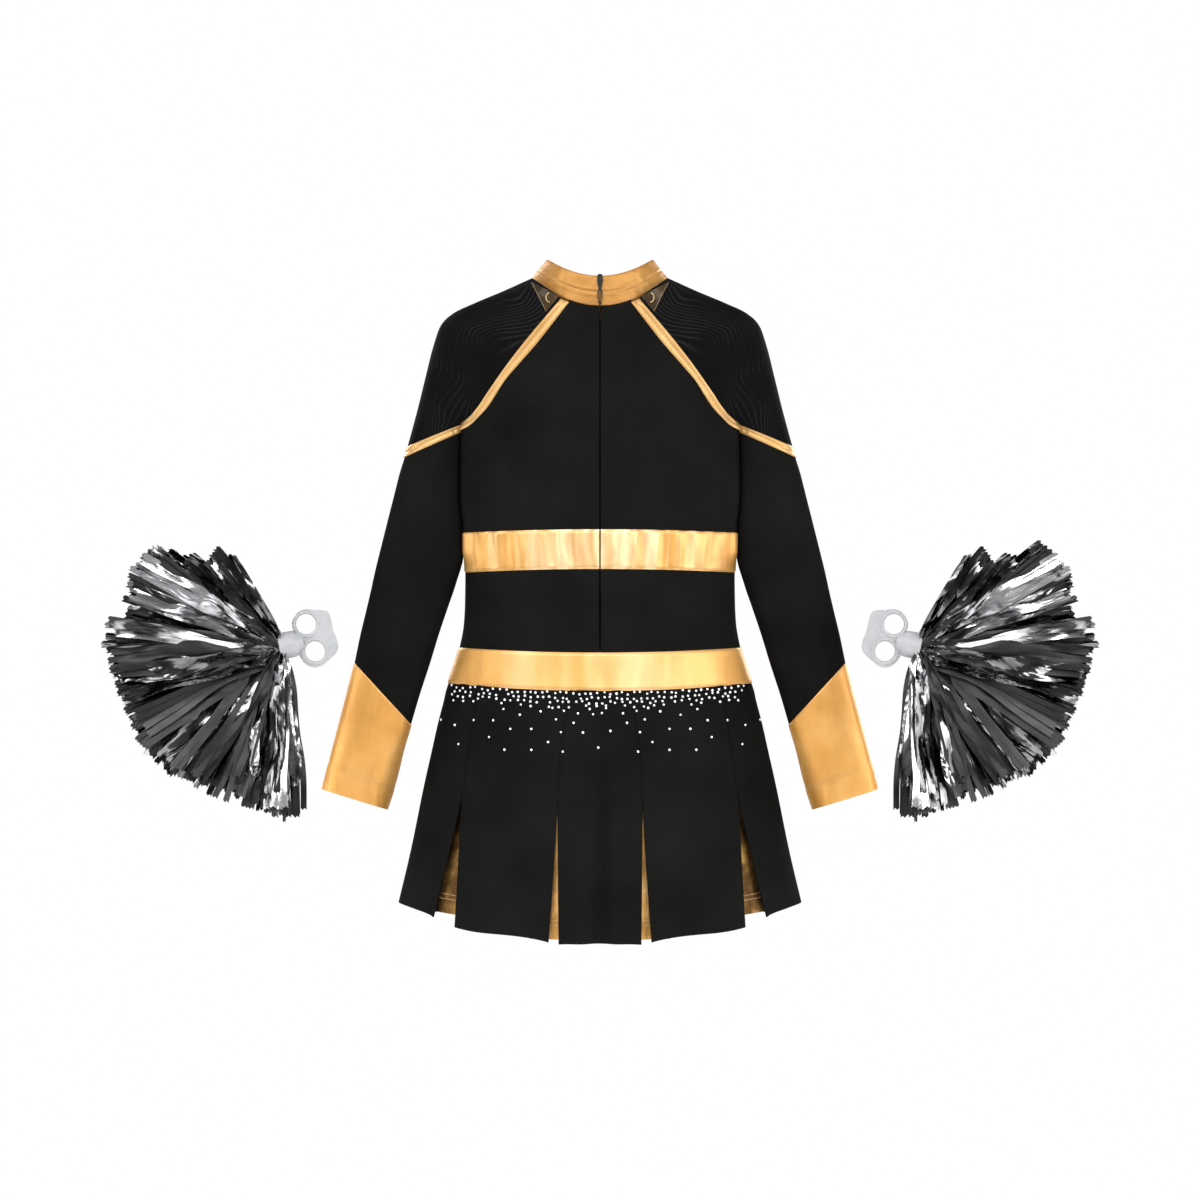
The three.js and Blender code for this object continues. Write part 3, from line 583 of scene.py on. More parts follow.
def cut_size(P, wrap=False):
    """Flat size of the cut for a panel: width, length and area in metres, rounded to the millimetre."""
    Pw = np.concatenate([P, P[:, :1]], 1) if wrap else P
    w = float(arc(Pw, 1)[:, -1].max()) * MM
    h = float(arc(Pw, 0)[-1].max()) * MM
    a, b, c, d = Pw[:-1, :-1], Pw[:-1, 1:], Pw[1:, 1:], Pw[1:, :-1]
    area = 0.5 * (np.linalg.norm(np.cross(b - a, c - a), axis=-1) + np.linalg.norm(np.cross(c - a, d - a), axis=-1)).sum() * MM * MM
    w, h = max(w, 0.0102), max(h, 0.0102)
    w, h = round(w + 0.0005, 3), round(h + 0.0005, 3)
    area = min(area, w * h)
    area = max(area, 0.3001 * w * h)
    return w, h, round(float(area), 6)


def thread_run(points, normals, pitch=3.0, length=2.1, r=0.22):
    """Stitches along a polyline: verts and faces of small rounded bars, in mm."""
    points, normals = np.asarray(points, float), np.asarray(normals, float)
    s = arc(points[:, None], 0)[:, 0]
    out = []
    t = pitch * 0.5
    while t + length * 0.5 < s[-1]:
        def at(q):
            k = min(max(int(np.searchsorted(s, q)) - 1, 0), len(s) - 2)
            f = (q - s[k]) / max(s[k + 1] - s[k], 1e-9)
            return points[k] * (1 - f) + points[k + 1] * f, normals[k] * (1 - f) + normals[k + 1] * f
        p0, _ = at(t - length / 2)
        p1, _ = at(t + length / 2)
        pm, nn = at(t)
        nn = nn / (np.linalg.norm(nn) + 1e-9)
        out.append((p0, p1, pm, nn))
        t += pitch
    verts, faces = [], []
    for p0, p1, pm, nn in out:
        d = (p1 - p0) / (np.linalg.norm(p1 - p0) + 1e-9)
        side = np.cross(d, nn)
        base = len(verts)
        for f, rr, up in ((0.0, 0.45, -0.1), (0.2, 1.0, 0.12), (0.8, 1.0, 0.12), (1.0, 0.45, -0.1)):
            c = p0 * (1 - f) + p1 * f + nn * up * r * 2
            for k in range(5):
                a = TAU * k / 5
                verts.append(c + side * math.cos(a) * r * rr + nn * math.sin(a) * r * rr)
        for q in range(3):
            for k in range(5):
                a, b = base + q * 5 + k, base + q * 5 + (k + 1) % 5
                faces.append((a, b, b + 5, a + 5))
        faces.append(tuple(base + k for k in range(4, -1, -1)))
        faces.append(tuple(base + 15 + k for k in range(5)))
    return verts, faces


def threads(name, runs, mat, pitch=3.0, length=2.1, r=0.22):
    V, F = [], []
    for pts, nrm in runs:
        v, f = thread_run(pts, nrm, pitch, length, r)
        F += [tuple(i + len(V) for i in q) for q in f]
        V += v
    return raw_mesh(name, np.array(V) * MM, F, mat)


def row_normals(P, i, ref):
    """Outward normals along row i of grid P."""
    du = np.gradient(P, axis=1)[i]
    dv = np.gradient(P, axis=0)[i]
    N = np.cross(du, dv)
    N /= np.linalg.norm(N, axis=-1, keepdims=True) + 1e-12
    if np.sum(N * (P[i] - ref)) < 0:
        N = -N
    return N


# ------------------------------------------------------------------ body of the dress

PIPE_OUT = Smooth([0, -48, -86, -113, -122, -133], [-40, -80, -108, -127, -136, -138.6])  # x by z
PIPE_IN = Smooth([-3, -44, -80, -108, -126, -133], [-31, -63, -94, -113, -130, -136])
SLIT = 0.75


def neck_back(x):
    return -6.4 + 28.4 * (x / 67.5) ** 2


def neck_front(x):
    return -16.0 + 38.0 * (x / 67.5) ** 2


def chest_grid(front, nu=30, nv=52):
    """Left half of the chest, from the centre to the piping or the side seam."""
    u = np.linspace(0, 1, nu)
    v = np.linspace(0, 1, nv)
    x_in = 0.0 if front else -SLIT
    neck = neck_front if front else neck_back
    xt = x_in + (-31 - x_in) * u
    zt = neck(xt)
    if front:
        zt = zt
    zb = -229.3 - 3.3 * (np.sin(np.pi / 2 * u)) ** 2
    z = zt[None] * (1 - v[:, None]) + zb[None] * v[:, None]
    w = T(z)[..., 0]
    xo = PIPE_IN(z) + (-w - PIPE_IN(z)) * smoothstep(-122, -130, z)
    xo = np.maximum(xo, -w)
    p0 = np.arcsin(np.clip(-x_in / w, -1, 1))
    p1 = np.arcsin(np.clip(-xo / w, -1, 1))
    phi = p0 + (p1 - p0) * u[None]
    if front:
        phi = np.pi - phi
    return torso_at(phi, z)


DRESS = "dress"
REF = (0, 0, -200)
g = chest_grid(False)
for side, P in (("left", g), ("right", None)):
    if P is None:
        # the right half is the left half mirrored to its own side, so its drape is a mirror image
        Q = mirror(g)
        phi = None
        P = Q
    o = build("back_panel_" + side, P, BLACK, 0.7, ref=REF)
    place(o, DRESS, replaces=["back_panel_" + side], sheet=(*cut_size(P), "stretched", ["shoulder_hold", "yoke_" + side]) if False else (*cut_size(P), "stretched", ["collar"]))
gf = chest_grid(True)
P = np.concatenate([gf[:, ::-1], mirror(gf)[:, 1:]], 1)
o = build("front_panel", P, BLACK, 0.7, ref=REF)
place(o, DRESS, replaces=["front_panel"], sheet=(*cut_size(P), "stretched", ["collar"]))


def strip_rows(z_top, z_low, nv):
    return lambda x: z_top(x) + (z_low(x) - z_top(x)) * np.linspace(0, 1, nv)[:, None]


def ring_grid(z_top, z_low, p0, p1, nu, nv, lift=0.0, relief=None, profile=None):
    """A part of a band round the body from phi p0 to p1; z_top and z_low are functions of x."""
    phi = np.linspace(p0, p1, nu)[None]
    v = np.linspace(0, 1, nv)[:, None]
    zm = (z_top(0.0) + z_low(0.0)) / 2
    x = -T(zm)[..., 0] * np.sin(phi)
    z = z_top(x) * (1 - v) + z_low(x) * v
    phi = np.broadcast_to(phi, z.shape)
    L = lift + (profile(v) if profile is not None else 0.0) * np.ones_like(z)
    P = torso_at(phi, z, 0.0, relief)
    Q = torso_at(phi, z, 1.0, relief)
    return P + (Q - P) * L[..., None]


def back_slit(z, x=SLIT):
    return float(np.arcsin(x / float(T(z)[0])))


WAIST_T, WAIST_B = (lambda x: -229.4 - 3.3 * (x / 137) ** 2), (lambda x: -269.0 - 3.4 * (x / 134) ** 2)
HIP_T, HIP_B = (lambda x: -352.4 + 4.2 * (x / 140) ** 2), (lambda x: -390.6 + 7.6 * (x / 152) ** 2)
band_edge = lambda v: 0.95 * np.minimum(1, np.minimum(v, 1 - v) / 0.035) ** 0.5


def band(name, z_top, z_low, p0, p1, nu, nv, mat, lift, relief, replaces, profile=band_edge):
    P = ring_grid(z_top, z_low, p0, p1, nu, nv, lift, relief, profile)
    o = build(name, P, mat, 0.8, ref=REF)
    place(o, DRESS, replaces=replaces, sheet=(*cut_size(P), "stretched", ["front_panel"]))
    return P


def waist_relief(x, z):
    v = np.clip((-229.0 - z) / 41.0, 0, 1)
    r = 0.45 * band_relief(x, z, -229, -270, 11)
    for cx, a in ((-102, 0.9), (-79, 1.5), (-55, 1.9), (-38, 1.3), (-20, 0.7), (18, 1.1), (36, 1.4), (54, 1.7), (80, 1.2), (103, 1.0)):
        r += a * np.sin(np.pi * v) ** 0.5 * (np.exp(-(((x - cx - (0.10 * np.sign(cx)) * 41 * (0.5 - v)) / 3.6) ** 2)) - 0.7 * np.exp(-(((x - cx - 8.5) / 5.0) ** 2)))
    return r
hip_relief = lambda x, z: 0.55 * band_relief(x * 0.8, z, -350, -389, 23)
runs_gold, runs_black = [], []


def edge_runs(P, rows, store):
    for r in rows:
        N = row_normals(P, r, np.array(REF, float))
        store.append((P[r] + N * 0.1, N))


s = back_slit(-250)
for side, p0, p1 in (("left", s, np.pi / 2), ("right", -np.pi / 2, -s)):
    P = band("waist_band_back_" + side, WAIST_T, WAIST_B, p0, p1, 110, 20, GOLD_WAIST, 0.0, waist_relief, ["waist_band_back_" + side])
    edge_runs(P, (1, -2), runs_gold)
    P = band("midriff_back_" + side, WAIST_B, HIP_T, p0, p1, 48, 26, BLACK, 0.0, None, ["midriff_back_" + side], None)
P = band("waist_band_front", WAIST_T, WAIST_B, np.pi / 2, 3 * np.pi / 2, 200, 20, GOLD_WAIST, 0.0, waist_relief, ["waist_band_front"])
edge_runs(P, (1, -2), runs_gold)
band("midriff_front", WAIST_B, HIP_T, np.pi / 2, 3 * np.pi / 2, 96, 26, BLACK, 0.0, None, ["midriff_front"], None)
P = band("hip_band_back", HIP_T, HIP_B, -np.pi / 2, np.pi / 2, 150, 20, GOLD, 0.0, hip_relief, ["hip_band_back"])
edge_runs(P, (1, -2), runs_gold)
P = band("hip_band_front", HIP_T, HIP_B, np.pi / 2, 3 * np.pi / 2, 150, 20, GOLD, 0.0, hip_relief, ["hip_band_front"])
edge_runs(P, (1, -2), runs_gold)


# piping along the raglan seams
def piping_grid(front, nu=17, nv=110):
    z_o = np.linspace(-2.0 if front else 0.5, -126, nv)
    z_i = np.linspace(-8.0 if front else -3.0, -133, nv)
    u = np.linspace(0, 1, nu)
    xo, xi = PIPE_OUT(z_o), PIPE_IN(z_i)
    if front:
        xo = xo + 1.5 * smoothstep(-20, 0, z_o)
    x = xo[:, None] * (1 - u) + xi[:, None] * u
    z = z_o[:, None] * (1 - u) + z_i[:, None] * u
    w = T(z)[..., 0]
    phi = np.arcsin(np.clip(-x / w, -1, 0.9999))
    if front:
        phi = np.pi - phi
    # a folded strip: full at its folded edges, flatter along the middle
    h = 1.0 + 0.55 * np.interp(u, [0, 0.08, 0.3, 0.5, 0.6, 0.8, 0.93, 1], [-0.9, 0.9, 0.5, -0.7, 0.4, 1.2, 0.9, -0.9])
    ripple = 0.22 * np.sin(z / 2.6 + 2.2 * u[None]) * smoothstep(-60, -125, z)
    h = h[None] + ripple
    P, Q = torso_at(phi, z), torso_at(phi, z, 1.0)
    return P + (Q - P) * h[..., None]


for fb, front in (("back", False), ("front", True)):
    P0 = piping_grid(front)
    for side, P in (("left", P0), ("right", mirror(P0))):
        o = build(f"piping_{fb}_{side}", P, GOLD_PIPING, 1.0, ref=REF)
        place(o, DRESS, replaces=[f"piping_{fb}_{side}"], sheet=(*cut_size(P), "stretched", [f"yoke_mesh_{side}"]))
        for col in (8,):
            Nn = np.cross(np.gradient(P, axis=1), np.gradient(P, axis=0))[:, col]
            Nn /= np.linalg.norm(Nn, axis=-1, keepdims=True)
            if np.sum(Nn * (P[:, col] - np.array(REF))) < 0:
                Nn = -Nn
            runs_gold.append((P[:, col] + Nn * 0.12, Nn))

# ------------------------------------------------------------------ raglan sleeves

# s, seam point at the body (x, z), outer point (x, z), half depth, y of the centre line
SECTIONS = [
    (0, -39, 1.5, -68.4, 22.4, 46, -12), (1, -60, -24, -98, 9.3, 45.5, -9), (2, -80, -48, -125, -1.8, 44.5, -5), (3, -95, -68, -147.5, -12.5, 41, -3),
    (4, -108, -86, -159.5, -24, 37.5, -2), (5, -118, -100, -167.8, -47, 34, -1), (6, -127, -113, -174.6, -74, 30.5, 0), (7, -133, -120, -183.2, -109, 27.5, 0),
    (8, -136.3, -123, -193.2, -146, 25.5, 0), (9, -137.2, -131, -196.2, -157, 25, 0), (10, -138.4, -158, -200.6, -171, 24, 0), (11, -138.2, -195, -208, -200, 22, 0),
    (12, -136.8, -229, -214.6, -226, 20, 0), (13, -136.9, -254, -220.6, -250, 19, 0), (14, -144.6, -284, -225.8, -271, 18.7, 1), (15, -152.8, -308, -230.2, -291, 18.6, 2.5),
    (16, -161.6, -334, -235.2, -312, 18.4, 6), (17, -171.2, -365, -240.9, -335, 18.2, 12), (18, -181.4, -396, -244.2, -350, 18, 18), (19, -190.0, -425, -247.0, -363, 17.8, 24),
    (20, -197.6, -450, -257.4, -405, 17.4, 30), (21, -205.7, -482, -269.8, -452, 17, 38), (22, -215.2, -511, -279.6, -491, 16.6, 45)]
SEC = Smooth([r[0] for r in SECTIONS], [r[1:] for r in SECTIONS])


def sleeve_relief(s, th, x, z):
    flank = np.sin(th) ** 2
    r = 0.8 * np.sin(z / 17.0 + 2.2 * np.cos(th)) * np.sin(th * 2 + z / 60.0) * smoothstep(3, 9, s) * flank
    # the arm's crease at the elbow and the slack below the stripe
    e = np.exp(-(((s - 15) / 1.6) ** 2))
    r += 1.0 * e * np.sin(z / 5.5 + 3 * np.sin(th)) * (0.5 + 0.5 * np.cos(th + 2.6)) * flank
    r += 0.7 * np.exp(-(((s - 10) / 1.6) ** 2)) * np.sin(z / 7.0 + 2 * np.cos(th)) * flank
    # long soft folds down the sleeve
    for at, w, k in ((1.15, 0.16, 1.2), (1.95, 0.2, -1.0), (2.45, 0.16, 0.8)):
        r += k * np.exp(-(((np.abs(th) - at - 0.012 * (s - 14)) / w) ** 2)) * smoothstep(9, 11, s) * smoothstep(21, 17, s)
    return r


def sleeve_grid(s0, s1, nu, nv, lift=0.0, extra=None):
    s = np.linspace(s0, s1, nv)
    x0, z0, x1, z1, B, yc = np.moveaxis(SEC(s), -1, 0)
    w, c, b, f = np.moveaxis(T(np.maximum(z0, -131)), -1, 0)
    k = np.sqrt(np.clip(1 - (x0 / np.maximum(w, np.abs(x0) + 1e-6)) ** 2, 0, 1))
    yb, yf = c - (c - b) * k, c + (f - c) * k
    open_ = smoothstep(8.0, 7.6, s)
    h = (yf - yb) / 2 * open_
    ym = (yf + yb) / 2 * open_ + yc * (1 - open_)
    B = np.maximum(B, h * 1.0001)
    tm = np.pi - np.arcsin(np.clip(h / B, 0, 1))
    ex, ez = x1 - x0, z1 - z0
    D = np.hypot(ex, ez)
    ex, ez = ex / D, ez / D
    A = D / (1 - np.cos(tm))
    closed = s0 >= 7.99
    q = np.linspace(-1, 1, nu + 1)[:-1] if closed else np.linspace(-1, 1, nu)
    th = q[None] * tm[:, None]
    cx, cz = x1 - A * ex, z1 - A * ez
    # the sleeve lies a little flat: fuller than an ellipse at its two edges
    n = 2 + 0.25 * smoothstep(8, 13, s)[:, None]
    ct, st = np.cos(th), np.sin(th)
    ct = np.where(th == 0, 1, np.sign(ct) * np.abs(ct) ** (2 / n))
    st = np.sign(st) * np.abs(st) ** (2 / n)
    X = cx[:, None] + A[:, None] * ex[:, None] * ct
    Z = cz[:, None] + A[:, None] * ez[:, None] * ct
    Y = ym[:, None] + B[:, None] * st
    N = np.stack([ex[:, None] * ct / A[:, None], st / B[:, None], ez[:, None] * ct / A[:, None]], -1)
    N /= np.linalg.norm(N, axis=-1, keepdims=True) + 1e-12
    S = np.broadcast_to(s[:, None], X.shape)
    r = lift + sleeve_relief(S, th, X, Z) * smoothstep(0, 1.2, tm[:, None] - np.abs(th) + smoothstep(7.9, 8.6, S) * 9)
    if extra is not None:
        r = r + extra(S, th)
    return np.stack([X, Y, Z], -1) + N * r[..., None]


def blend_upper(side, kind):
    m = -1 if side == "right" else 1
    if kind == "cap":
        return ("dress", "sleeve_" + side, (-133 * m, 0, -60), (-193 * m, 0, -60))
    if kind == "upper":
        return ("dress", "sleeve_" + side, (-133 * m, 0, -132), (-154 * m, 0, -174))
    return ("sleeve_" + side, "forearm_" + side, (-183 * m, 0, -272), (-197 * m, 0, -330))


def stripe_profile(S, th):
    v = S - 8.0
    h = 0.9 + 0.5 * np.interp(v, [0, 0.08, 0.3, 0.5, 0.7, 0.92, 1], [-0.9, 1.0, 0.5, -0.6, 0.6, 1.0, -0.9])
    return h + 0.28 * np.sin(th * 26 + 3.0 * v) * smoothstep(1.0, 2.6, np.abs(th))


cuff_edge = lambda S, th: 0.9 * np.minimum(1, np.abs(S - 19) / 0.06)
for side in ("left", "right"):
    mir = (lambda G: G) if side == "left" else mirror
    sref = mir(np.array([-150.0, 0, -60]))
    P = mir(sleeve_grid(0, 8.0 - 0.02, 64, 60))
    o = build("yoke_mesh_" + side, P, SHEER, 0.35, ref=mir(np.array([-105.0, -4, -70])))
    place(o, blend=blend_upper(side, "cap"), replaces=["yoke_" + side, "sleeve_cap_" + side], sheet=(*cut_size(P), "stretched", ["collar"]))
    P = mir(sleeve_grid(8.0, 9.0, 180, 15, 0.0, stripe_profile))
    o = build("sleeve_stripe_" + side, P, GOLD_PIPING, 1.2, wrap=True, ref=mir(np.array([-165.0, 0, -140])))
    place(o, blend=blend_upper(side, "cap"), replaces=["sleeve_stripe_" + side], sheet=(*cut_size(P, True), "stretched", ["yoke_mesh_" + side]))
    P = mir(sleeve_grid(9.0, 12.5, 64, 44))
    o = build("sleeve_upper_" + side, P, BLACK, 0.7, wrap=True, ref=mir(np.array([-175.0, 0, -190])))
    place(o, blend=blend_upper(side, "upper"), replaces=["sleeve_upper_" + side], sheet=(*cut_size(P, True), "stretched", ["sleeve_stripe_" + side]))
    P = mir(sleeve_grid(12.5, 19.0, 64, 84))
    o = build("sleeve_lower_" + side, P, BLACK, 0.7, wrap=True, ref=mir(np.array([-195.0, 10, -320])))
    place(o, blend=blend_upper(side, "lower"), replaces=["sleeve_upper_" + side, "sleeve_lower_" + side], sheet=(*cut_size(P, True), "stretched", ["sleeve_upper_" + side]))

    def cuff_fold(S, th):
        hem = 0.5 * smoothstep(21.25, 21.4, S)
        pin = -1.6 * np.exp(-(((th + 1.9) / 0.16) ** 2) - (((S - 21.0) / 0.8) ** 2)) + 1.2 * np.exp(-(((th + 1.55) / 0.14) ** 2) - (((S - 21.0) / 0.9) ** 2))
        return cuff_edge(S, th) + hem + pin

    P = mir(sleeve_grid(19.0, 22.0, 64, 60, 0.0, cuff_fold))
    cref = mir(np.array([-235.0, 35, -440]))
    o = build("cuff_" + side, P, GOLD_DEEP, 0.9, wrap=True, ref=cref)
    place(o, "forearm_" + side, replaces=["cuff_" + side], sheet=(*cut_size(P, True), "stretched", ["sleeve_lower_" + side]))
    runs = []
    for r in (1, 44, 46):
        Pc = np.concatenate([P, P[:, :1]], 1)
        Nn = row_normals(Pc, r, cref)
        runs.append((Pc[r] + Nn * 0.1, Nn))
    o = threads("cuff_stitching_" + side, runs, THREAD_GOLD, 2.6, 1.9, 0.24)
    place(o, "forearm_" + side)

# ------------------------------------------------------------------ collar


def collar_grid(nu=150, nv=22):
    gap = 0.012
    phi = np.linspace(gap, TAU - gap, nu)[None]
    v = np.linspace(0, 1, nv)[:, None]
    A = 67.5 + (52.0 - 67.5) * v**0.9
    x = -A * np.sin(phi)
    yy = -12 - 47.5 * np.cos(phi)
    bk = 0.5 + 0.5 * np.tanh(np.cos(phi) * 5)
    xb = -67.5 * np.sin(phi)
    xt = -52.0 * np.sin(phi)
    zb = bk * neck_back(xb) + (1 - bk) * neck_front(xb)
    zt = bk * (23.4 + 17.6 * (xt / 52) ** 2) + (1 - bk) * (10 + 31 * (xt / 52) ** 2)
    z = zb * (1 - v) + zt * v
    crease = -0.7 * np.exp(-(((v - 0.44) / 0.035) ** 2)) + 0.35 * np.exp(-(((v - 0.36) / 0.05) ** 2)) + 0.35 * np.exp(-(((v - 0.52) / 0.05) ** 2))
    waves = 0.5 * np.sin(phi * 9 + 1.5 * v) * np.sin(np.pi * v) + 0.9 * np.exp(-(((np.abs(xb) - 46) / 6) ** 2)) * (v - 0.3)
    edge = 0.9 * np.minimum(1, (1 - v) / 0.06) ** 0.5 - 0.9 + 0.5 * np.minimum(1, v / 0.05)
    fold = -0.9 * np.exp(-(((np.abs(xb) - 39 - 5 * v) / 1.8) ** 2)) * bk * (0.35 + 0.65 * v)
    r = 1.0 + crease + waves + edge + fold
    n = np.stack([-np.sin(phi) / A, -np.cos(phi) / 47.5 + 0 * A, 0.12 / 50 * np.ones_like(x)], -1)
    n /= np.linalg.norm(n, axis=-1, keepdims=True)
    return np.stack([x + 0 * z, yy + 0 * z, z], -1) + n * r[..., None]


P = collar_grid()
o = build("collar", P, GOLD_COLLAR, 1.8, ref=(0, -12, 5))
place(o, DRESS, replaces=["collar_back_left", "collar_back_right", "collar_front"], sheet=(*cut_size(P), "stretched", ["shoulder_hold"]))
for r in (1, 9):
    Nn = row_normals(P, r, np.array([0, -12, 5.0]))
    runs_gold.append((P[r] + Nn * 0.08, Nn))
o = threads("gold_stitching", runs_gold, THREAD_GOLD, 2.8, 2.0, 0.2)
place(o, DRESS)

# folded seam allowance beside the collar, held just under the net
from mathutils.bvhtree import BVHTree

YG = sleeve_grid(0, 8.0 - 0.02, 64, 60)
nv_, nu_ = YG.shape[:2]
ii, jj = np.meshgrid(np.arange(nv_ - 1), np.arange(nu_ - 1), indexing="ij")
quads = np.stack([ii * nu_ + jj, ii * nu_ + jj + 1, (ii + 1) * nu_ + jj + 1, (ii + 1) * nu_ + jj], -1).reshape(-1, 4)
YT = BVHTree.FromPolygons([Vector(p) for p in YG.reshape(-1, 3)], [tuple(int(k) for k in q) for q in quads])
for side in ("left", "right"):
    for fb, sg in (("back", -1), ("front", 1)):
        tri = np.array([[-69.0, 18.0], [-41.0, 3.0], [-53.5, -12.5]])
        if fb == "front":
            tri = tri + np.array([[0, 0], [0, -3], [0, -3]])
        nn_ = 22
        a, b = np.meshgrid(np.linspace(0.02, 1, nn_), np.linspace(0, 1, nn_), indexing="ij")
        XZ = tri[0][None, None] * (1 - a)[..., None] + (tri[1] * (1 - b)[..., None] + tri[2] * b[..., None]) * a[..., None]
        P = np.zeros((nn_, nn_, 3))
        last = None
        for i in range(nn_):
            for j in range(nn_):
                x, z = XZ[i, j]
                hit = YT.ray_cast(Vector((x, sg * 300.0, z)), Vector((0, -sg, 0)))[0]
                y = hit.y if hit is not None and (hit.y + 12) * sg > 0 else (last if last is not None else -12 + sg * 20)
                last = y
                P[i, j] = (x, y + sg * 0.9, z)
        if side == "right":
            P = mirror(P)
        o = build(f"neck_facing_{fb}_{side}", P, BRONZE, 0.4, ref=(0, -12, 0))
        place(o, DRESS, sheet=(*cut_size(P), "stretched", ["collar"]))
        edge = np.stack([P[:, -1]])[0]
        nrm = np.tile([0.0, sg * 1.0, 0.3], (len(edge), 1))
        o = threads(f"neck_stitch_{fb}_{side}", [(edge + nrm * 0.5, nrm)], THREAD_GOLD, 2.4, 1.5, 0.2)
        place(o, DRESS)
        mx = -1 if side == "right" else 1
        loop = []
        for t in np.linspace(0.15, 1.0, 9):
            a_ = math.pi * (0.35 + 1.25 * t)
            x, z = -50.5 + 3.4 * math.cos(a_), 1.6 + 4.6 * math.sin(a_)
            hit = YT.ray_cast(Vector((x, sg * 300.0, z)), Vector((0, -sg, 0)))[0]
            loop.append([x * mx, (hit.y if hit is not None else -12 + sg * 40) + sg * 1.5, z])
        nrm = np.tile([0.0, sg * 1.0, 0.0], (9, 1))
        o = threads(f"neck_loop_{fb}_{side}", [(np.array(loop), nrm)], THREAD_GOLD, 1.4, 1.5, 0.5)
        place(o, DRESS)

# ------------------------------------------------------------------ zip


def coil(side):
    n, k = 620, 6
    z = np.linspace(22.0, -349.5, n)
    r = 0.52 + 0.16 * (np.arange(n) % 2)
    x = side * 0.62
    y = -59.6 - 0.1 * np.cos(np.arange(n))
    a = np.linspace(0, TAU, k, endpoint=False)
    P = np.stack([x + r[:, None] * np.cos(a)[None] * 0.8, y[:, None] + r[:, None] * np.sin(a)[None], np.broadcast_to(z[:, None], (n, k))], -1)
    V = P.reshape(-1, 3) * MM
    F = []
    for i in range(n - 1):
        for j in range(k):
            p, q = i * k + j, i * k + (j + 1) % k
            F.append((p, q, q + k, p + k))
    F.append(tuple(range(k)))
    F.append(tuple(range((n - 1) * k, n * k))[::-1])
    return V, F


for side, sg in (("left", -1), ("right", 1)):
    V, F = coil(sg)
    o = raw_mesh("zip_coil_" + side, V, F, TAPE)
    place(o, DRESS, replaces=["zip_tape_" + side])
    z = np.linspace(20, -347, 120)[:, None]
    u = np.linspace(0, 1, 5)[None]
    P = np.stack([sg * (0.9 + 6.5 * u) + 0 * z, -58.2 + 0.25 * np.sin(z / 9) * u, z + 0 * u], -1)
    o = build("zip_tape_cloth_" + side, P, TAPE, 0.4, ref=(0, 0, -160))
    place(o, DRESS, sheet=(*cut_size(P), "stretched", ["back_panel_" + side]))
for node in ("zip_slider", "zip_pull", "zip_bottom_stop"):
    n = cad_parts[node]
    n.data.materials.clear()
    n.data.materials.append(ENAMEL)
    b = n.modifiers.new("edge", "BEVEL")
    b.width, b.segments, b.limit_method, b.angle_limit = 0.00035, 3, "ANGLE", math.radians(35)
    n.data.polygons.foreach_set("use_smooth", np.ones(len(n.data.polygons), bool))

# ------------------------------------------------------------------ skirt

XE = Smooth([-391, -402, -483, -560, -642], [32.4, 33.3, 41.7, 41.2, 40.4])
XI = Smooth([-391, -402, -483, -560, -642], [32.4, 33.3, 41.7, 46.2, 51.8])
XO = Smooth([-391, -402, -482, -560, -642], [124.8, 125.8, 136.4, 141.0, 146.2])
XS = Smooth([-391, -402, -482, -545, -620], [124.8, 125.8, 136.4, 149.5, 168.8])


def skirt_relief(x, z, kind):
    d = smoothstep(-470, -640, z)
    g = smoothstep(-470, -395, z)
    r = 0.55 * g * np.sin(TAU * x / 17.5 + 1.7 * np.sin(x / 21.0)) * smoothstep(-391, -400, z)
    if kind == "centre":
        r -= (2.0 + 7.0 * smoothstep(-400, -630, z)) * np.exp(-(((x - 3.0 - 0.018 * (z + 480)) / (4.5 + 4.5 * d)) ** 2))
        r += (1.0 + 2.2 * d) * (np.exp(-(((x + 17) / 13) ** 2)) + np.exp(-(((x - 22) / 13) ** 2)))
    elif kind == "wide":
        r += 2.6 * d * np.sin((np.abs(x) - 41) / 98 * np.pi) + 1.1 * d * np.sin(x / 11.0 + z / 90)
        r += 1.0 * np.exp(-(((np.abs(x) - 62 + 0.03 * z) / 10) ** 2)) * smoothstep(-400, -520, z)
    elif kind == "side":
        r += 1.6 * d * np.sin(x / 13.0 + z / 80)
    return r


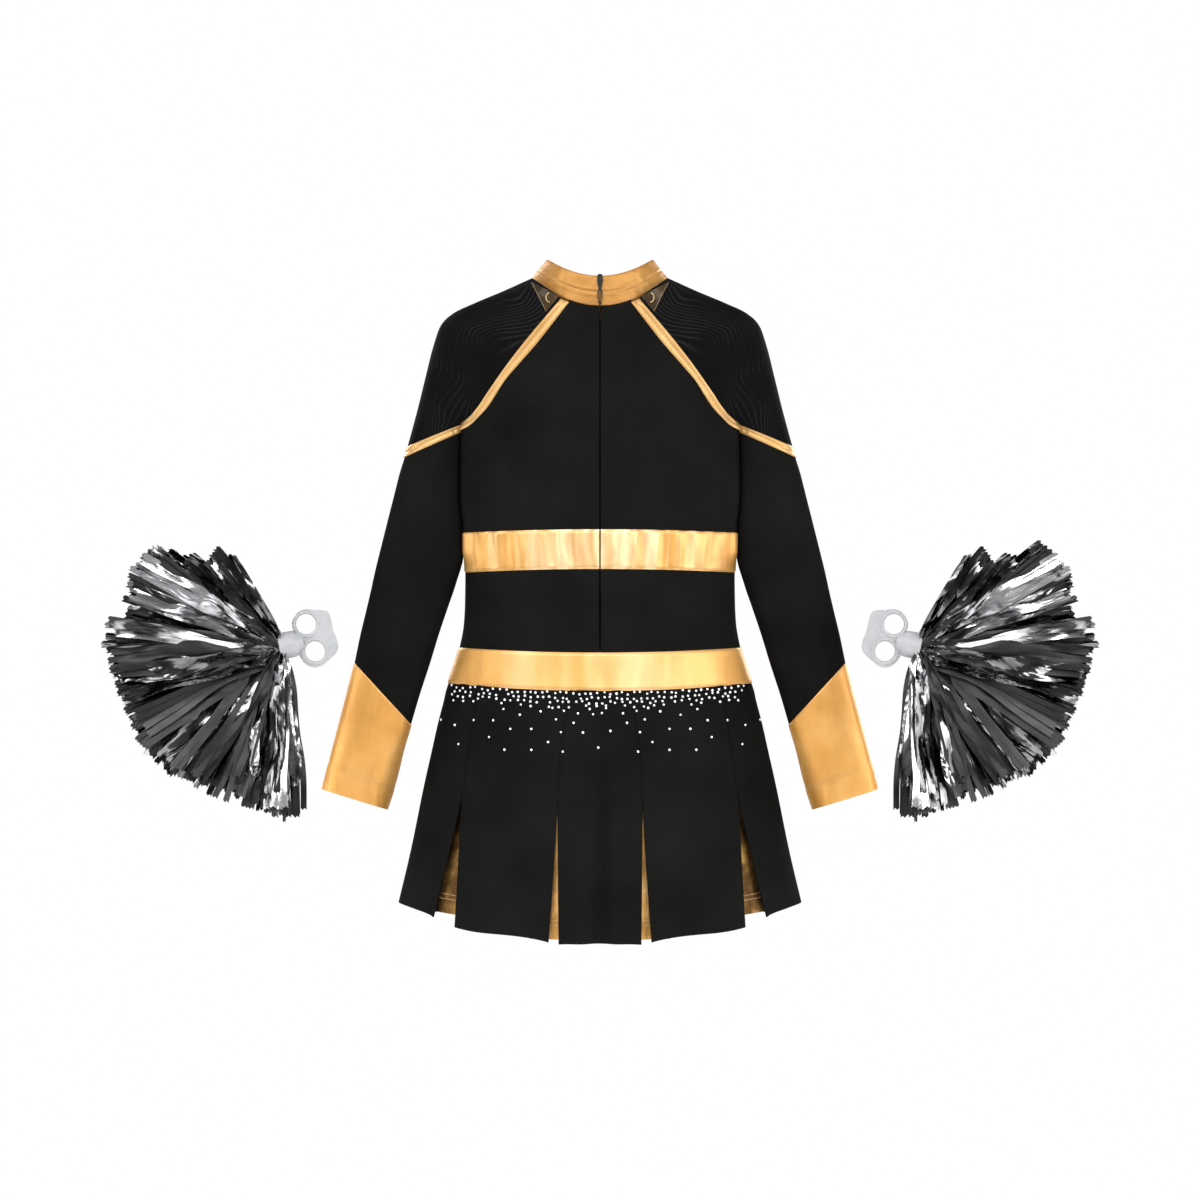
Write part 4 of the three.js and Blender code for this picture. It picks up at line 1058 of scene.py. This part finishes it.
def pleat_grid(kind, nu, nv, z_hem, front=False):
    """Columns run across the pleat, with a turned-back edge on each side; rows run from the band to the hem."""
    m = np.linspace(0, 1, nu)
    v = np.linspace(0, 1, nv)
    back_turn = [(-16.0, 3.2), (-7.0, 3.1), (-1.6, 2.9), (0.3, 2.1), (0.75, 1.0), (0.4, 0.3)]
    if kind == "side":
        zt = HIP_B(-152.0 * np.sin(np.pi / 2 + (m - 0.5) * 1.1)) + 0.5
        z = zt[None] * (1 - v[:, None]) + z_hem(m)[None] * v[:, None]
        a0 = skirt_phi(-XS(z), z)
        phi = a0 + (np.pi - 2 * a0) * m[None]
    else:
        if kind == "centre":
            xl, xr = (lambda q: XE(q)), (lambda q: -XE(q))
        else:
            xl, xr = (lambda q: -XI(q)), (lambda q: -XO(q))
        x_top = xl(-391.0) + (xr(-391.0) - xl(-391.0)) * m
        zt = HIP_B(x_top) + 0.5
        z = zt[None] * (1 - v[:, None]) + z_hem(m)[None] * v[:, None]
        pa, pb = skirt_phi(xl(z), z), skirt_phi(xr(z), z)
        phi = pa + (pb - pa) * m[None]
        if front:
            phi = np.pi * np.sign(phi + 1e-9) - phi if kind != "centre" else np.pi - phi
    base, N = skirt_at(phi, z)
    r = skirt_relief(base[..., 0], z, kind)
    edge = np.minimum(m, 1 - m)[None] * abs(float(np.ptp(base[nv // 2, :, 0])) + 1e-6)
    r = r * smoothstep(6, 22, edge) ** smoothstep(-520, -480, z)
    r = r - 1.5 * np.exp(-((edge / 1.7) ** 2)) * smoothstep(-500, -470, z) + 0.45 * np.exp(-(((edge - 5.0) / 2.6) ** 2))
    P = base + N * r[..., None]
    # turned-back edges
    t0, t1 = P[:, 8] - P[:, 0], P[:, -1] - P[:, -9]
    t0, t1 = (q / np.linalg.norm(q, axis=-1, keepdims=True) for q in (t0, t1))
    first = [P[:, 0] - t0 * a - N[:, 0] * b for a, b in back_turn]
    last = [P[:, -1] + t1 * a - N[:, -1] * b for a, b in back_turn[::-1]]
    return np.concatenate([np.stack(first, 1), P, np.stack(last, 1)], 1)


hem_centre = lambda m: -641.5 + 1.4 * np.exp(-(((m - 0.52) / 0.16) ** 2)) + 0.5 * np.sin(m * 9)
hem_wide = lambda m: -639.2 + 15.2 * m**0.8 + 1.3 * np.sin(m * 5.2 + 0.6) - 0.7
hem_side = lambda m: -615.5 + 12.5 * np.sin(np.pi * m) ** 0.7

PIV = -483.3
PLEATS = []
for fb in ("back", "front"):
    front = fb == "front"
    sg = 1 if front else -1
    P = pleat_grid("centre", 44, 84, hem_centre)
    if front:
        P = P * np.array([1, -1, 1])
    PLEATS.append(("pleat_" + fb + "_centre", P, "pleat_" + fb + "_centre", ["pleat_" + fb + "_centre"] + ["skirt_yoke_" + fb]))
    P0 = pleat_grid("wide", 52, 84, hem_wide)
    if front:
        P0 = P0 * np.array([1, -1, 1])
    for side in ("left", "right"):
        P = P0 if side == "left" else mirror(P0)
        PLEATS.append((f"pleat_{fb}_{side}", P, f"pleat_{fb}_{side}", [f"pleat_{fb}_{side}"]))
P0 = pleat_grid("side", 90, 78, hem_side)
for side in ("left", "right"):
    P = P0 if side == "left" else mirror(P0)
    PLEATS.append(("pleat_side_" + side, P, "pleat_side_" + side, ["pleat_side_" + side]))
for name, P, body, repl in PLEATS:
    o = build(name, P, BLACK, 0.75, ref=(0, 0, -520))
    place(o, blend=(DRESS, body, (0, 0, -480), (0, 0, -522)), replaces=repl, sheet=(*cut_size(P), "hung", ["hip_band_back" if "back" in name else "hip_band_front"]))


# metallic inserts between the pleats
def insert_grid(top, low, hem, deep, nu=26, nv=44):
    m = np.linspace(0, 1, nu)
    v = np.linspace(0, 1, nv)[:, None]
    z = -470.0 * (1 - v) + (hem[0] + (hem[1] - hem[0]) * m)[None] * v
    x = (top[0] + (top[1] - top[0]) * m)[None] * (1 - v) + (low[0] + (low[1] - low[0]) * m)[None] * v
    w = SKIRT(z)[..., 0]
    base, N = skirt_at(skirt_phi(np.maximum(x, -w * 0.999), z), z)
    r = -5.2 - deep * (1 - m)[None] * v * 1.0 + 0.5 * np.sin(m * 14)[None] * v + 0.4 * np.sin(z / 9.0)
    return base + N * r[..., None]


ins_runs = {}
for fb in ("back", "front"):
    for kind, args in (("inner", ((-54, -28), (-70, -12), (-636.0, -637.5), 2.0)), ("outer", ((-151, -118), (-184, -104), (-608.0, -619.0), 4.0))):
        P0 = insert_grid(*args)
        if fb == "front":
            P0 = P0 * np.array([1, -1, 1])
        for side in ("left", "right"):
            P = P0 if side == "left" else mirror(P0)
            body = f"pleat_{fb}_{side}" if kind == "inner" else "pleat_side_" + side
            # inner and outer inserts use the darkened gold copies: painted shade between the pleats
            o = build(f"insert_{fb}_{kind}_{side}", P, GOLD_INSERT if kind == "inner" else GOLD_SHADE, 0.7, ref=(0, 0, -520))
            place(o, blend=(DRESS, body, (0, 0, -476), (0, 0, -520)), replaces=[f"insert_{fb}_{kind}_{side}"], sheet=(*cut_size(P), "hung", [f"pleat_{fb}_{side}"]))
            for up in (14.0, 18.5):
                v_at = (P[-1, :, 2] + up)
                k = np.argmin(np.abs(P[..., 2] - v_at[None]), axis=0)
                row = P[k, np.arange(P.shape[1])].copy()
                Nn = np.stack([row_normals(P, kk, np.array([0, 0, -520.0]))[jj] for jj, kk in enumerate(k)])
                row[:, 2] = v_at
                ins_runs.setdefault(body, []).append((row + Nn * 0.25, Nn))
for body, runs in ins_runs.items():
    o = threads("insert_stitching_" + body, runs, THREAD_GOLD, 2.6, 1.9, 0.26)
    place(o, body)

# ------------------------------------------------------------------ rhinestones

SPARSE = """503.7,708.8 520,714.4 493.5,720 510.6,728.5 531.6,728.5 489.3,736.8 504.8,749.3 531.6,749.3 540.8,711 556.2,719 561,731.7 548.3,741.5
563,751 552.7,707.6 564,710.5 578,713 573.7,722.4 583,732 589.6,708.6 593,713.8 601.8,712.6 606,707.7 622.8,713 626.9,722.4 610.4,730.5 598.2,747
636.6,710.5 648,707.6 644.5,719 639.8,731.7 652.2,741.5 637.7,751 660,711 669.2,728.5 669.2,749.3 680.4,714.4 690,728.5 695.8,749.3 697,708.8
707.2,720 711.3,736.8 441,720 455,725 458.6,744 474,720 760,720 745,725 742,744 727,720"""


def stone(center, normal, r):
    n = normal / np.linalg.norm(normal)
    t = np.cross(n, [0, 0, 1.0])
    t /= np.linalg.norm(t)
    b = np.cross(n, t)
    V = []
    for rr, h, off in ((1.0, -0.15, 0), (1.0, 0.25, 0), (0.78, 0.62, 0.5), (0.42, 0.86, 0)):
        for k in range(8):
            a = TAU * (k + off) / 8
            V.append(center + (t * math.cos(a) + b * math.sin(a)) * r * rr + n * r * h)
    F = []
    for q in range(3):
        for k in range(8):
            p, p2 = q * 8 + k, q * 8 + (k + 1) % 8
            F.append((p, p2, p2 + 8, p + 8))
    F.append(tuple(range(24, 32)))
    F.append(tuple(range(7, -1, -1)))
    return V, F


def surface_tree(front):
    VV, FF = [], []
    for name, P, body, repl in PLEATS:
        if ("front" if front else "back") in name or "side" in name:
            k = sum(len(v) for v in VV)
            n1, n2 = P.shape[:2]
            i, j = np.meshgrid(np.arange(n1 - 1), np.arange(n2 - 1), indexing="ij")
            q = np.stack([i * n2 + j, i * n2 + j + 1, (i + 1) * n2 + j + 1, (i + 1) * n2 + j], -1).reshape(-1, 4) + k
            VV.append(P.reshape(-1, 3))
            FF.append(q)
    return BVHTree.FromPolygons([Vector(v) for v in np.concatenate(VV)], [tuple(int(c) for c in f) for f in np.concatenate(FF)])


def stones(name, front, seed):
    g = np.random.default_rng(seed)
    sg = 1 if front else -1
    tree = surface_tree(front)
    pts = []
    for tok in SPARSE.split():
        px, py = (float(q) for q in tok.split(","))
        pts.append((px - 600.0, 300.0 - py))
    for row, (dz, step, keep) in enumerate(((2.6, 6.1, 1.0), (7.2, 6.0, 0.97), (11.6, 6.6, 0.86), (15.6, 9.5, 0.7))):
        x = -149.0 + (row % 2) * 3
        while x < 149.5:
            xx = x + g.uniform(-1.2, 1.2)
            zz = HIP_B(xx) - dz + g.uniform(-1.3, 1.3)
            if g.uniform() < keep:
                pts.append((xx, zz))
            x += step
    V, F = [], []
    for x, z in pts:
        hit = tree.ray_cast(Vector((x, sg * 300.0, z)), Vector((0, -sg, 0)))
        if hit[0] is None:
            continue
        P, N = np.array(hit[0]), np.array(hit[1])
        if N[1] * sg < 0:
            N = -N
        v, f = stone(P + N * 0.25, N, g.uniform(1.08, 1.32))
        F += [tuple(i + len(V) for i in q) for q in f]
        V += v
    return raw_mesh(name, np.array(V) * MM, F, STONE, smooth=False)


for fb, front, seed in (("back", False, 5), ("front", True, 6)):
    o = stones("rhinestones_" + fb, front, seed)
    place(o, DRESS, replaces=["rhinestone_trim_" + fb])

# ------------------------------------------------------------------ poms

POM_Y = -112.0


def handle(side):
    m = 1 if side == "left" else -1
    cu = bpy.data.curves.new("pom_handle_" + side, "CURVE")
    cu.dimensions = "2D"
    cu.fill_mode = "BOTH"
    cu.extrude = 3.0 * MM
    cu.bevel_depth = 0.9 * MM
    cu.bevel_resolution = 3

    def spline(points):
        s = cu.splines.new("POLY")
        s.points.add(len(points) - 1)
        for k, (x, z) in enumerate(points):
            s.points[k].co = (x * MM, z * MM, 0, 1)
        s.use_cyclic_u = True

    corner = [(-300.5, -335.5), (-304, -325), (-302.5, -316.5), (-297, -311), (-289.5, -309.6), (-283, -311), (-271, -310.6), (-268, -318), (-265.5, -331), (-262, -338), (-259.5, -350),
              (-270, -359.5), (-276.5, -365), (-283.5, -366.5), (-291, -363.5), (-296.5, -356.5), (-299, -350)]
    out = []
    n = len(corner)
    for k in range(n):
        p, q, r = (np.array(corner[(k + d) % n], float) for d in (-1, 0, 1))
        for t in (0.0, 0.25, 0.5, 0.75):
            a, b = (p + q) / 2, (q + r) / 2
            out.append(tuple((1 - t) ** 2 * a + 2 * t * (1 - t) * q + t * t * b))
    inner_r = [(-291.4, -323.9, 10.0, 13.9), (-282.4, -350.8, 9.9, 14.2)]
    spline([(x * m, z) for x, z in out])
    for cx, cz, r, _ in inner_r:
        spline([((cx + (r + 0.9) * math.cos(a)) * m, cz + (r + 0.9) * math.sin(a)) for a in np.linspace(0, TAU, 64, endpoint=False)])
    ob = bpy.data.objects.new("tmp_curve", cu)
    bpy.context.scene.collection.objects.link(ob)
    dg = bpy.context.evaluated_depsgraph_get()
    me = bpy.data.meshes.new_from_object(ob.evaluated_get(dg))
    bpy.data.objects.remove(ob)
    bm = bmesh.new()
    bm.from_mesh(me)
    bmesh.ops.rotate(bm, verts=bm.verts, cent=(0, 0, 0), matrix=Matrix.Rotation(math.pi / 2, 3, "X"))

    def lathe(profile, origin, axis, seg=56):
        """profile: (radius, height) loop in mm."""
        ax = Vector(axis).normalized()
        t = ax.cross(Vector((0, 1, 0)))
        if t.length < 1e-3:
            t = Vector((1, 0, 0))
        t.normalize()
        b = ax.cross(t)
        rings = []
        for k in range(seg):
            a = TAU * k / seg
            d = t * math.cos(a) + b * math.sin(a)
            rings.append([bm.verts.new((Vector(origin) + d * r + ax * h) * MM) for r, h in profile])
        for k in range(seg):
            A, B = rings[k], rings[(k + 1) % seg]
            for j in range(len(profile)):
                j2 = (j + 1) % len(profile)
                bm.faces.new((A[j], A[j2], B[j2], B[j]))

    for cx, cz, r, ro in inner_r:
        prof = []
        mid, hw, hh, e = (r + ro) / 2, (ro - r) / 2, 5.0, 1.5
        for q in range(24):
            a = TAU * q / 24
            c, s_ = math.cos(a), math.sin(a)
            prof.append((mid + hw * math.copysign(abs(c) ** 0.6, c), hh * math.copysign(abs(s_) ** 0.6, s_)))
        lathe(prof, (cx * m, 0, cz), (0, 1, 0))
    d = Vector((math.cos(math.radians(192)) * m, 0, math.sin(math.radians(192))))
    cup = [(7.5, -6.5), (9.3, -5.6), (9.9, -2.0), (11.8, 0.6), (12.9, 2.6), (13.1, 6.0), (13.25, 14.6), (13.9, 15.4), (13.9, 17.4), (13.1, 18.2), (11.9, 17.6), (11.4, 15.0), (11.1, 8.0), (4.0, 7.0), (0.6, 7.0), (0.6, -6.5)]
    lathe(cup, (-300 * m, 0, -342.5), d)
    # two small moulded ribs on the neck
    for dz in (-3.2, 3.2):
        c = Vector((-297.2 * m, -4.2, -342.0 + dz))
        size = (4.2, 1.2, 0.8)
        vs = [bm.verts.new((c + Vector((sx * size[0] / 2, sy * size[1] / 2, sz * size[2] / 2))) * MM) for sx in (-1, 1) for sy in (-1, 1) for sz in (-1, 1)]
        for f in ((0, 1, 3, 2), (4, 6, 7, 5), (0, 4, 5, 1), (2, 3, 7, 6), (0, 2, 6, 4), (1, 5, 7, 3)):
            bm.faces.new([vs[q] for q in f])
    bmesh.ops.translate(bm, verts=bm.verts, vec=(0, POM_Y * MM, 0))
    bmesh.ops.recalc_face_normals(bm, faces=bm.faces)
    bm.to_mesh(me)
    bm.free()
    me.name = "pom_handle_" + side
    me.materials.clear()
    me.materials.append(PLASTIC)
    me.polygons.foreach_set("use_smooth", np.ones(len(me.polygons), bool))
    o = bpy.data.objects.new("pom_grip_" + side, me)
    bpy.context.scene.collection.objects.link(o)
    sm = o.modifiers.new("soft_edge", "WEIGHTED_NORMAL")
    me.set_sharp_from_angle(angle=math.radians(40))
    return o


# reach of the fan by direction (degrees, then mm)
FAN = Smooth([114, 123, 130, 133, 137, 141, 143, 149, 155, 160, 161.5, 166, 168, 173, 175, 183, 190, 202, 218, 228, 242, 253, 262, 269, 272, 277, 282],
             [96, 106, 125, 116, 133, 144, 168, 170, 173, 173, 156, 154, 163, 168, 184, 183, 180, 177, 180, 176, 170, 165, 170, 175, 172, 120, 118])


def tuft(side, seed):
    g = np.random.default_rng(seed)
    m = 1 if side == "left" else -1
    apex = np.array([-311.0, 0.0, -345.0])
    V, F, UV, MI = [], [], [], []

    def clump(ang, layer, count, pitch, mat, tilt, reach, crumple):
        """count streamers that lie side by side and crumple together."""
        a0 = math.radians(ang)
        out = np.array([math.cos(a0), 0, math.sin(a0)])
        ph = g.uniform(0, TAU, 8)
        spread = 33.0 * layer
        R0 = float(FAN(np.clip(ang, 114, 282))) * reach
        root = apex + np.array([0, layer * 7.5, 0]) + np.array([-0.21, 0, 0.97]) * g.uniform(-7, 7)
        cup_out = np.array([-0.978, 0, -0.208])
        n = 40
        slope = g.uniform(-0.35, 0.35)
        uo, vo = g.uniform(0, 4), g.uniform(0, 4)
        steps = g.uniform(-3.0, 3.0, count + 1).cumsum() * 0.5
        for k in range(count):
            q0 = k - (count - 1) / 2
            R = R0 - 0.9 * abs(steps[k]) - g.choice([0.0, 2.0, 5.0, 11.0]) + 0.6 * q0 * slope * pitch
            t = np.linspace(0, 1, n)
            tt = t[:, None]
            tip = apex + out * R + np.array([0, spread, 0])
            c1 = root + cup_out * 14.0
            c2 = apex + out * (R * 0.42) + np.array([0, spread * 0.95, 0])
            C = root * (1 - tt) ** 3 + 3 * c1 * tt * (1 - tt) ** 2 + 3 * c2 * tt**2 * (1 - tt) + tip * tt**3
            d = np.gradient(C, axis=0)
            d /= np.linalg.norm(d, axis=-1, keepdims=True)
            across = np.cross(d, [0, 1.0, 0])
            across /= np.linalg.norm(across, axis=-1, keepdims=True) + 1e-9
            nrm = np.cross(across, d)
            amp = smoothstep(0.06, 0.35, t)
            tw = (tilt + 0.35 * np.sin(t * 4.0 + ph[0]) + 0.16 * np.sin(t * 13 + ph[1])) * amp + (g.uniform(-1.2, 1.2) * (1 - amp))
            W = across * np.cos(tw)[:, None] + nrm * np.sin(tw)[:, None]
            Nn = np.cross(W, d)
            wid = pitch * (0.16 + 0.84 * smoothstep(0.0, 0.42, t)) * (1 + 0.10 * smoothstep(0.5, 1.0, t))
            split = g.uniform(-0.5, 0.5, 2)
            free = smoothstep(0.72, 1.0, t) * g.uniform(0, 1)
            cols = 4 if pitch > 4 else 3
            base = len(V)
            serr = 1.0
            for i in range(n):
                for j in range(cols):
                    f = j / (cols - 1) - 0.5
                    lat = (q0 + f * 1.02) * wid[i]
                    # a crumple that is shared by the whole clump
                    w1, w2 = lat / 9.0, t[i] * R / 19.0
                    h = crumple * amp[i] * (1.5 * math.sin(w2 + 1.1 * w1 + ph[2]) * math.cos(w1 * 0.9 - 0.5 * w2 + ph[3]) + 0.8 * abs(math.sin(0.9 * w2 - 1.3 * w1 + ph[4])) + 0.5 * abs(math.sin(2.3 * w2 + 1.9 * w1 + ph[5])))
                    h += amp[i] * 2.0 * math.sin(t[i] * 6.5 + ph[6])
                    h += free[i] * split[0] * 9.0
                    p = C[i] + W[i] * (lat + free[i] * split[1] * 3.0 + 2.2 * amp[i] * math.sin(t[i] * 5 + ph[7])) + Nn[i] * h
                    if i == n - 1:
                        p = p + d[i] * (serr if j % 2 else -serr)
                    V.append((p[0] * m, p[1] + POM_Y, p[2]))
            for i in range(n - 1):
                for j in range(cols - 1):
                    a, b = base + i * cols + j, base + i * cols + j + 1
                    F.append((a, b, b + cols, a + cols))
                    u0, u1 = uo + (q0 + j / (cols - 1)) * pitch * MM, uo + (q0 + (j + 1) / (cols - 1)) * pitch * MM
                    v0, v1 = vo + t[i] * R * MM, vo + t[i + 1] * R * MM
                    UV.extend([(u0, v0), (u1, v0), (u1, v1), (u0, v1)])
                    MI.append(mat)

    # inner mass of narrow streamers
    for k in range(120):
        ang = 121 + 157 * ((k * 0.61803) % 1.0) + g.uniform(-1, 1)
        clump(ang, g.uniform(-0.85, 0.85), 1, g.uniform(5.0, 7.5), 1 if g.uniform() < 0.35 else 0, g.uniform(-1.0, 1.0), g.uniform(0.86, 0.99), 1.0)
    # broad clumps, back and front
    for lay in (-1, 1):
        k = 0
        ang = 124.0
        while ang < 272:
            cnt = int(g.integers(2, 6))
            pitch = g.uniform(5.0, 6.6)
            width = math.degrees(cnt * pitch / 172.0)
            r = g.uniform()
            mat = 3 if r < 0.30 else (1 if r < 0.52 else (2 if r > 0.93 else 0))
            for depth in (0.55, 0.95):
                clump(ang + width / 2 + g.uniform(-3, 3), lay * depth * g.uniform(0.85, 1.0), cnt, pitch, mat if depth > 0.9 else int(g.integers(0, 2)), g.uniform(-0.5, 0.5), g.uniform(0.93, 1.0), g.uniform(0.7, 1.7))
            ang += width * 0.82
            k += 1
        # a few that lie on top, turned
        for ang in g.uniform(126, 268, 9):
            clump(float(ang), lay * 1.0, int(g.integers(1, 3)), g.uniform(5.0, 7.0), 1 if g.uniform() < 0.3 else 0, g.uniform(-0.7, 0.7), g.uniform(0.8, 0.97), 1.6)
    o = raw_mesh("pom_streamers_" + side, np.array(V) * MM, F, FILM, True, UV)
    o.data.materials.append(FILM_MATT)
    o.data.materials.append(FILM_GREY)
    o.data.materials.append(FILM_BRIGHT)
    o.data.polygons.foreach_set("material_index", np.array(MI, np.int32))
    return o


for side, seed in (("left", 41), ("right", 41)):
    o = handle(side)
    place(o, "pom_" + side, replaces=["pom_handle_" + side])
    o = tuft(side, seed)
    place(o, "pom_" + side, replaces=["pom_tuft_" + side])

# ------------------------------------------------------------------ stage, light, camera


def area(name, loc, target, size, power, color=(1, 1, 1)):
    L = bpy.data.lights.new(name, "AREA")
    L.shape, L.size, L.size_y, L.energy, L.color = "RECTANGLE", size[0], size[1], power, color
    o = bpy.data.objects.new(name, L)
    o.location = loc
    o.rotation_mode = "QUATERNION"
    o.rotation_quaternion = (Vector(target) - Vector(loc)).to_track_quat("-Z", "Y")
    o.visible_camera = False
    bpy.context.scene.collection.objects.link(o)
    return o


area("key", (-1.7, -2.7, 1.4), (0, 0, -0.3), (1.9, 1.5), 56)
area("fill", (2.2, -2.4, 0.6), (0, 0, -0.35), (1.6, 1.8), 44)
area("front", (0.0, -3.3, 0.9), (0, 0, -0.3), (1.5, 0.8), 40)
area("side_left", (-3.0, -1.0, -0.1), (-0.2, 0, -0.35), (1.6, 2.0), 44)
area("side_right", (3.0, -1.0, -0.1), (0.2, 0, -0.35), (1.6, 2.0), 44)
area("rear_left", (-1.9, 2.4, 0.9), (0, 0, -0.3), (1.3, 1.5), 44)
area("rear_right", (2.0, 2.3, 0.5), (0, 0, -0.3), (1.3, 1.5), 40)
area("top", (0, 0.1, 2.2), (0, 0, -0.3), (1.6, 1.6), 20)

world = bpy.data.worlds.new("studio")
bpy.context.scene.world = world
world.use_nodes = True
wt = world.node_tree
bg = wt.nodes["Background"]
bg.inputs["Color"].default_value = (0.62, 0.62, 0.63, 1)
bg.inputs["Strength"].default_value = 0.30
bg2 = wt.nodes.new("ShaderNodeBackground")
bg2.inputs["Color"].default_value = (1, 1, 1, 1)
bg2.inputs["Strength"].default_value = 1.0
lp = wt.nodes.new("ShaderNodeLightPath")
mix = wt.nodes.new("ShaderNodeMixShader")
wt.links.new(lp.outputs["Is Camera Ray"], mix.inputs[0])
wt.links.new(bg.outputs[0], mix.inputs[1])
wt.links.new(bg2.outputs[0], mix.inputs[2])
wt.links.new(mix.outputs[0], wt.nodes["World Output"].inputs["Surface"])

me = bpy.data.meshes.new("floor")
s = 1.35
me.from_pydata([(-s, -s, 0), (s, -s, 0), (s, s, 0), (-s, s, 0)], [], [(0, 1, 2, 3)])
fm = Nodes("floor_paint")
fm.link(fm.ramp(fm.noise(fm.obj(), 6.0), [(0.3, (0.90, 0.90, 0.905)), (0.7, (0.94, 0.94, 0.945))]), fm.b.inputs["Base Color"])
fm.b.inputs["Roughness"].default_value = 0.8
fm.b.inputs["Emission Color"].default_value = (1, 1, 1, 1)
fm.b.inputs["Emission Strength"].default_value = 0.35
me.materials.append(fm.mat)
floor = bpy.data.objects.new("floor", me)
floor.location = (0, 0, -1.15)
bpy.context.scene.collection.objects.link(floor)

cam = bpy.data.cameras.new("camera")
cam.lens, cam.sensor_width = 269.0, 36.0
cam.dof.use_dof = False
co = bpy.data.objects.new("camera", cam)
co.location = (0.0, -9.0, -0.300)
co.rotation_euler = (math.pi / 2, 0, 0)
bpy.context.scene.collection.objects.link(co)
bpy.context.scene.camera = co
bpy.context.scene.view_settings.view_transform = "Standard"
bpy.context.scene.view_settings.look = "None"

bpy.context.view_layer.update()
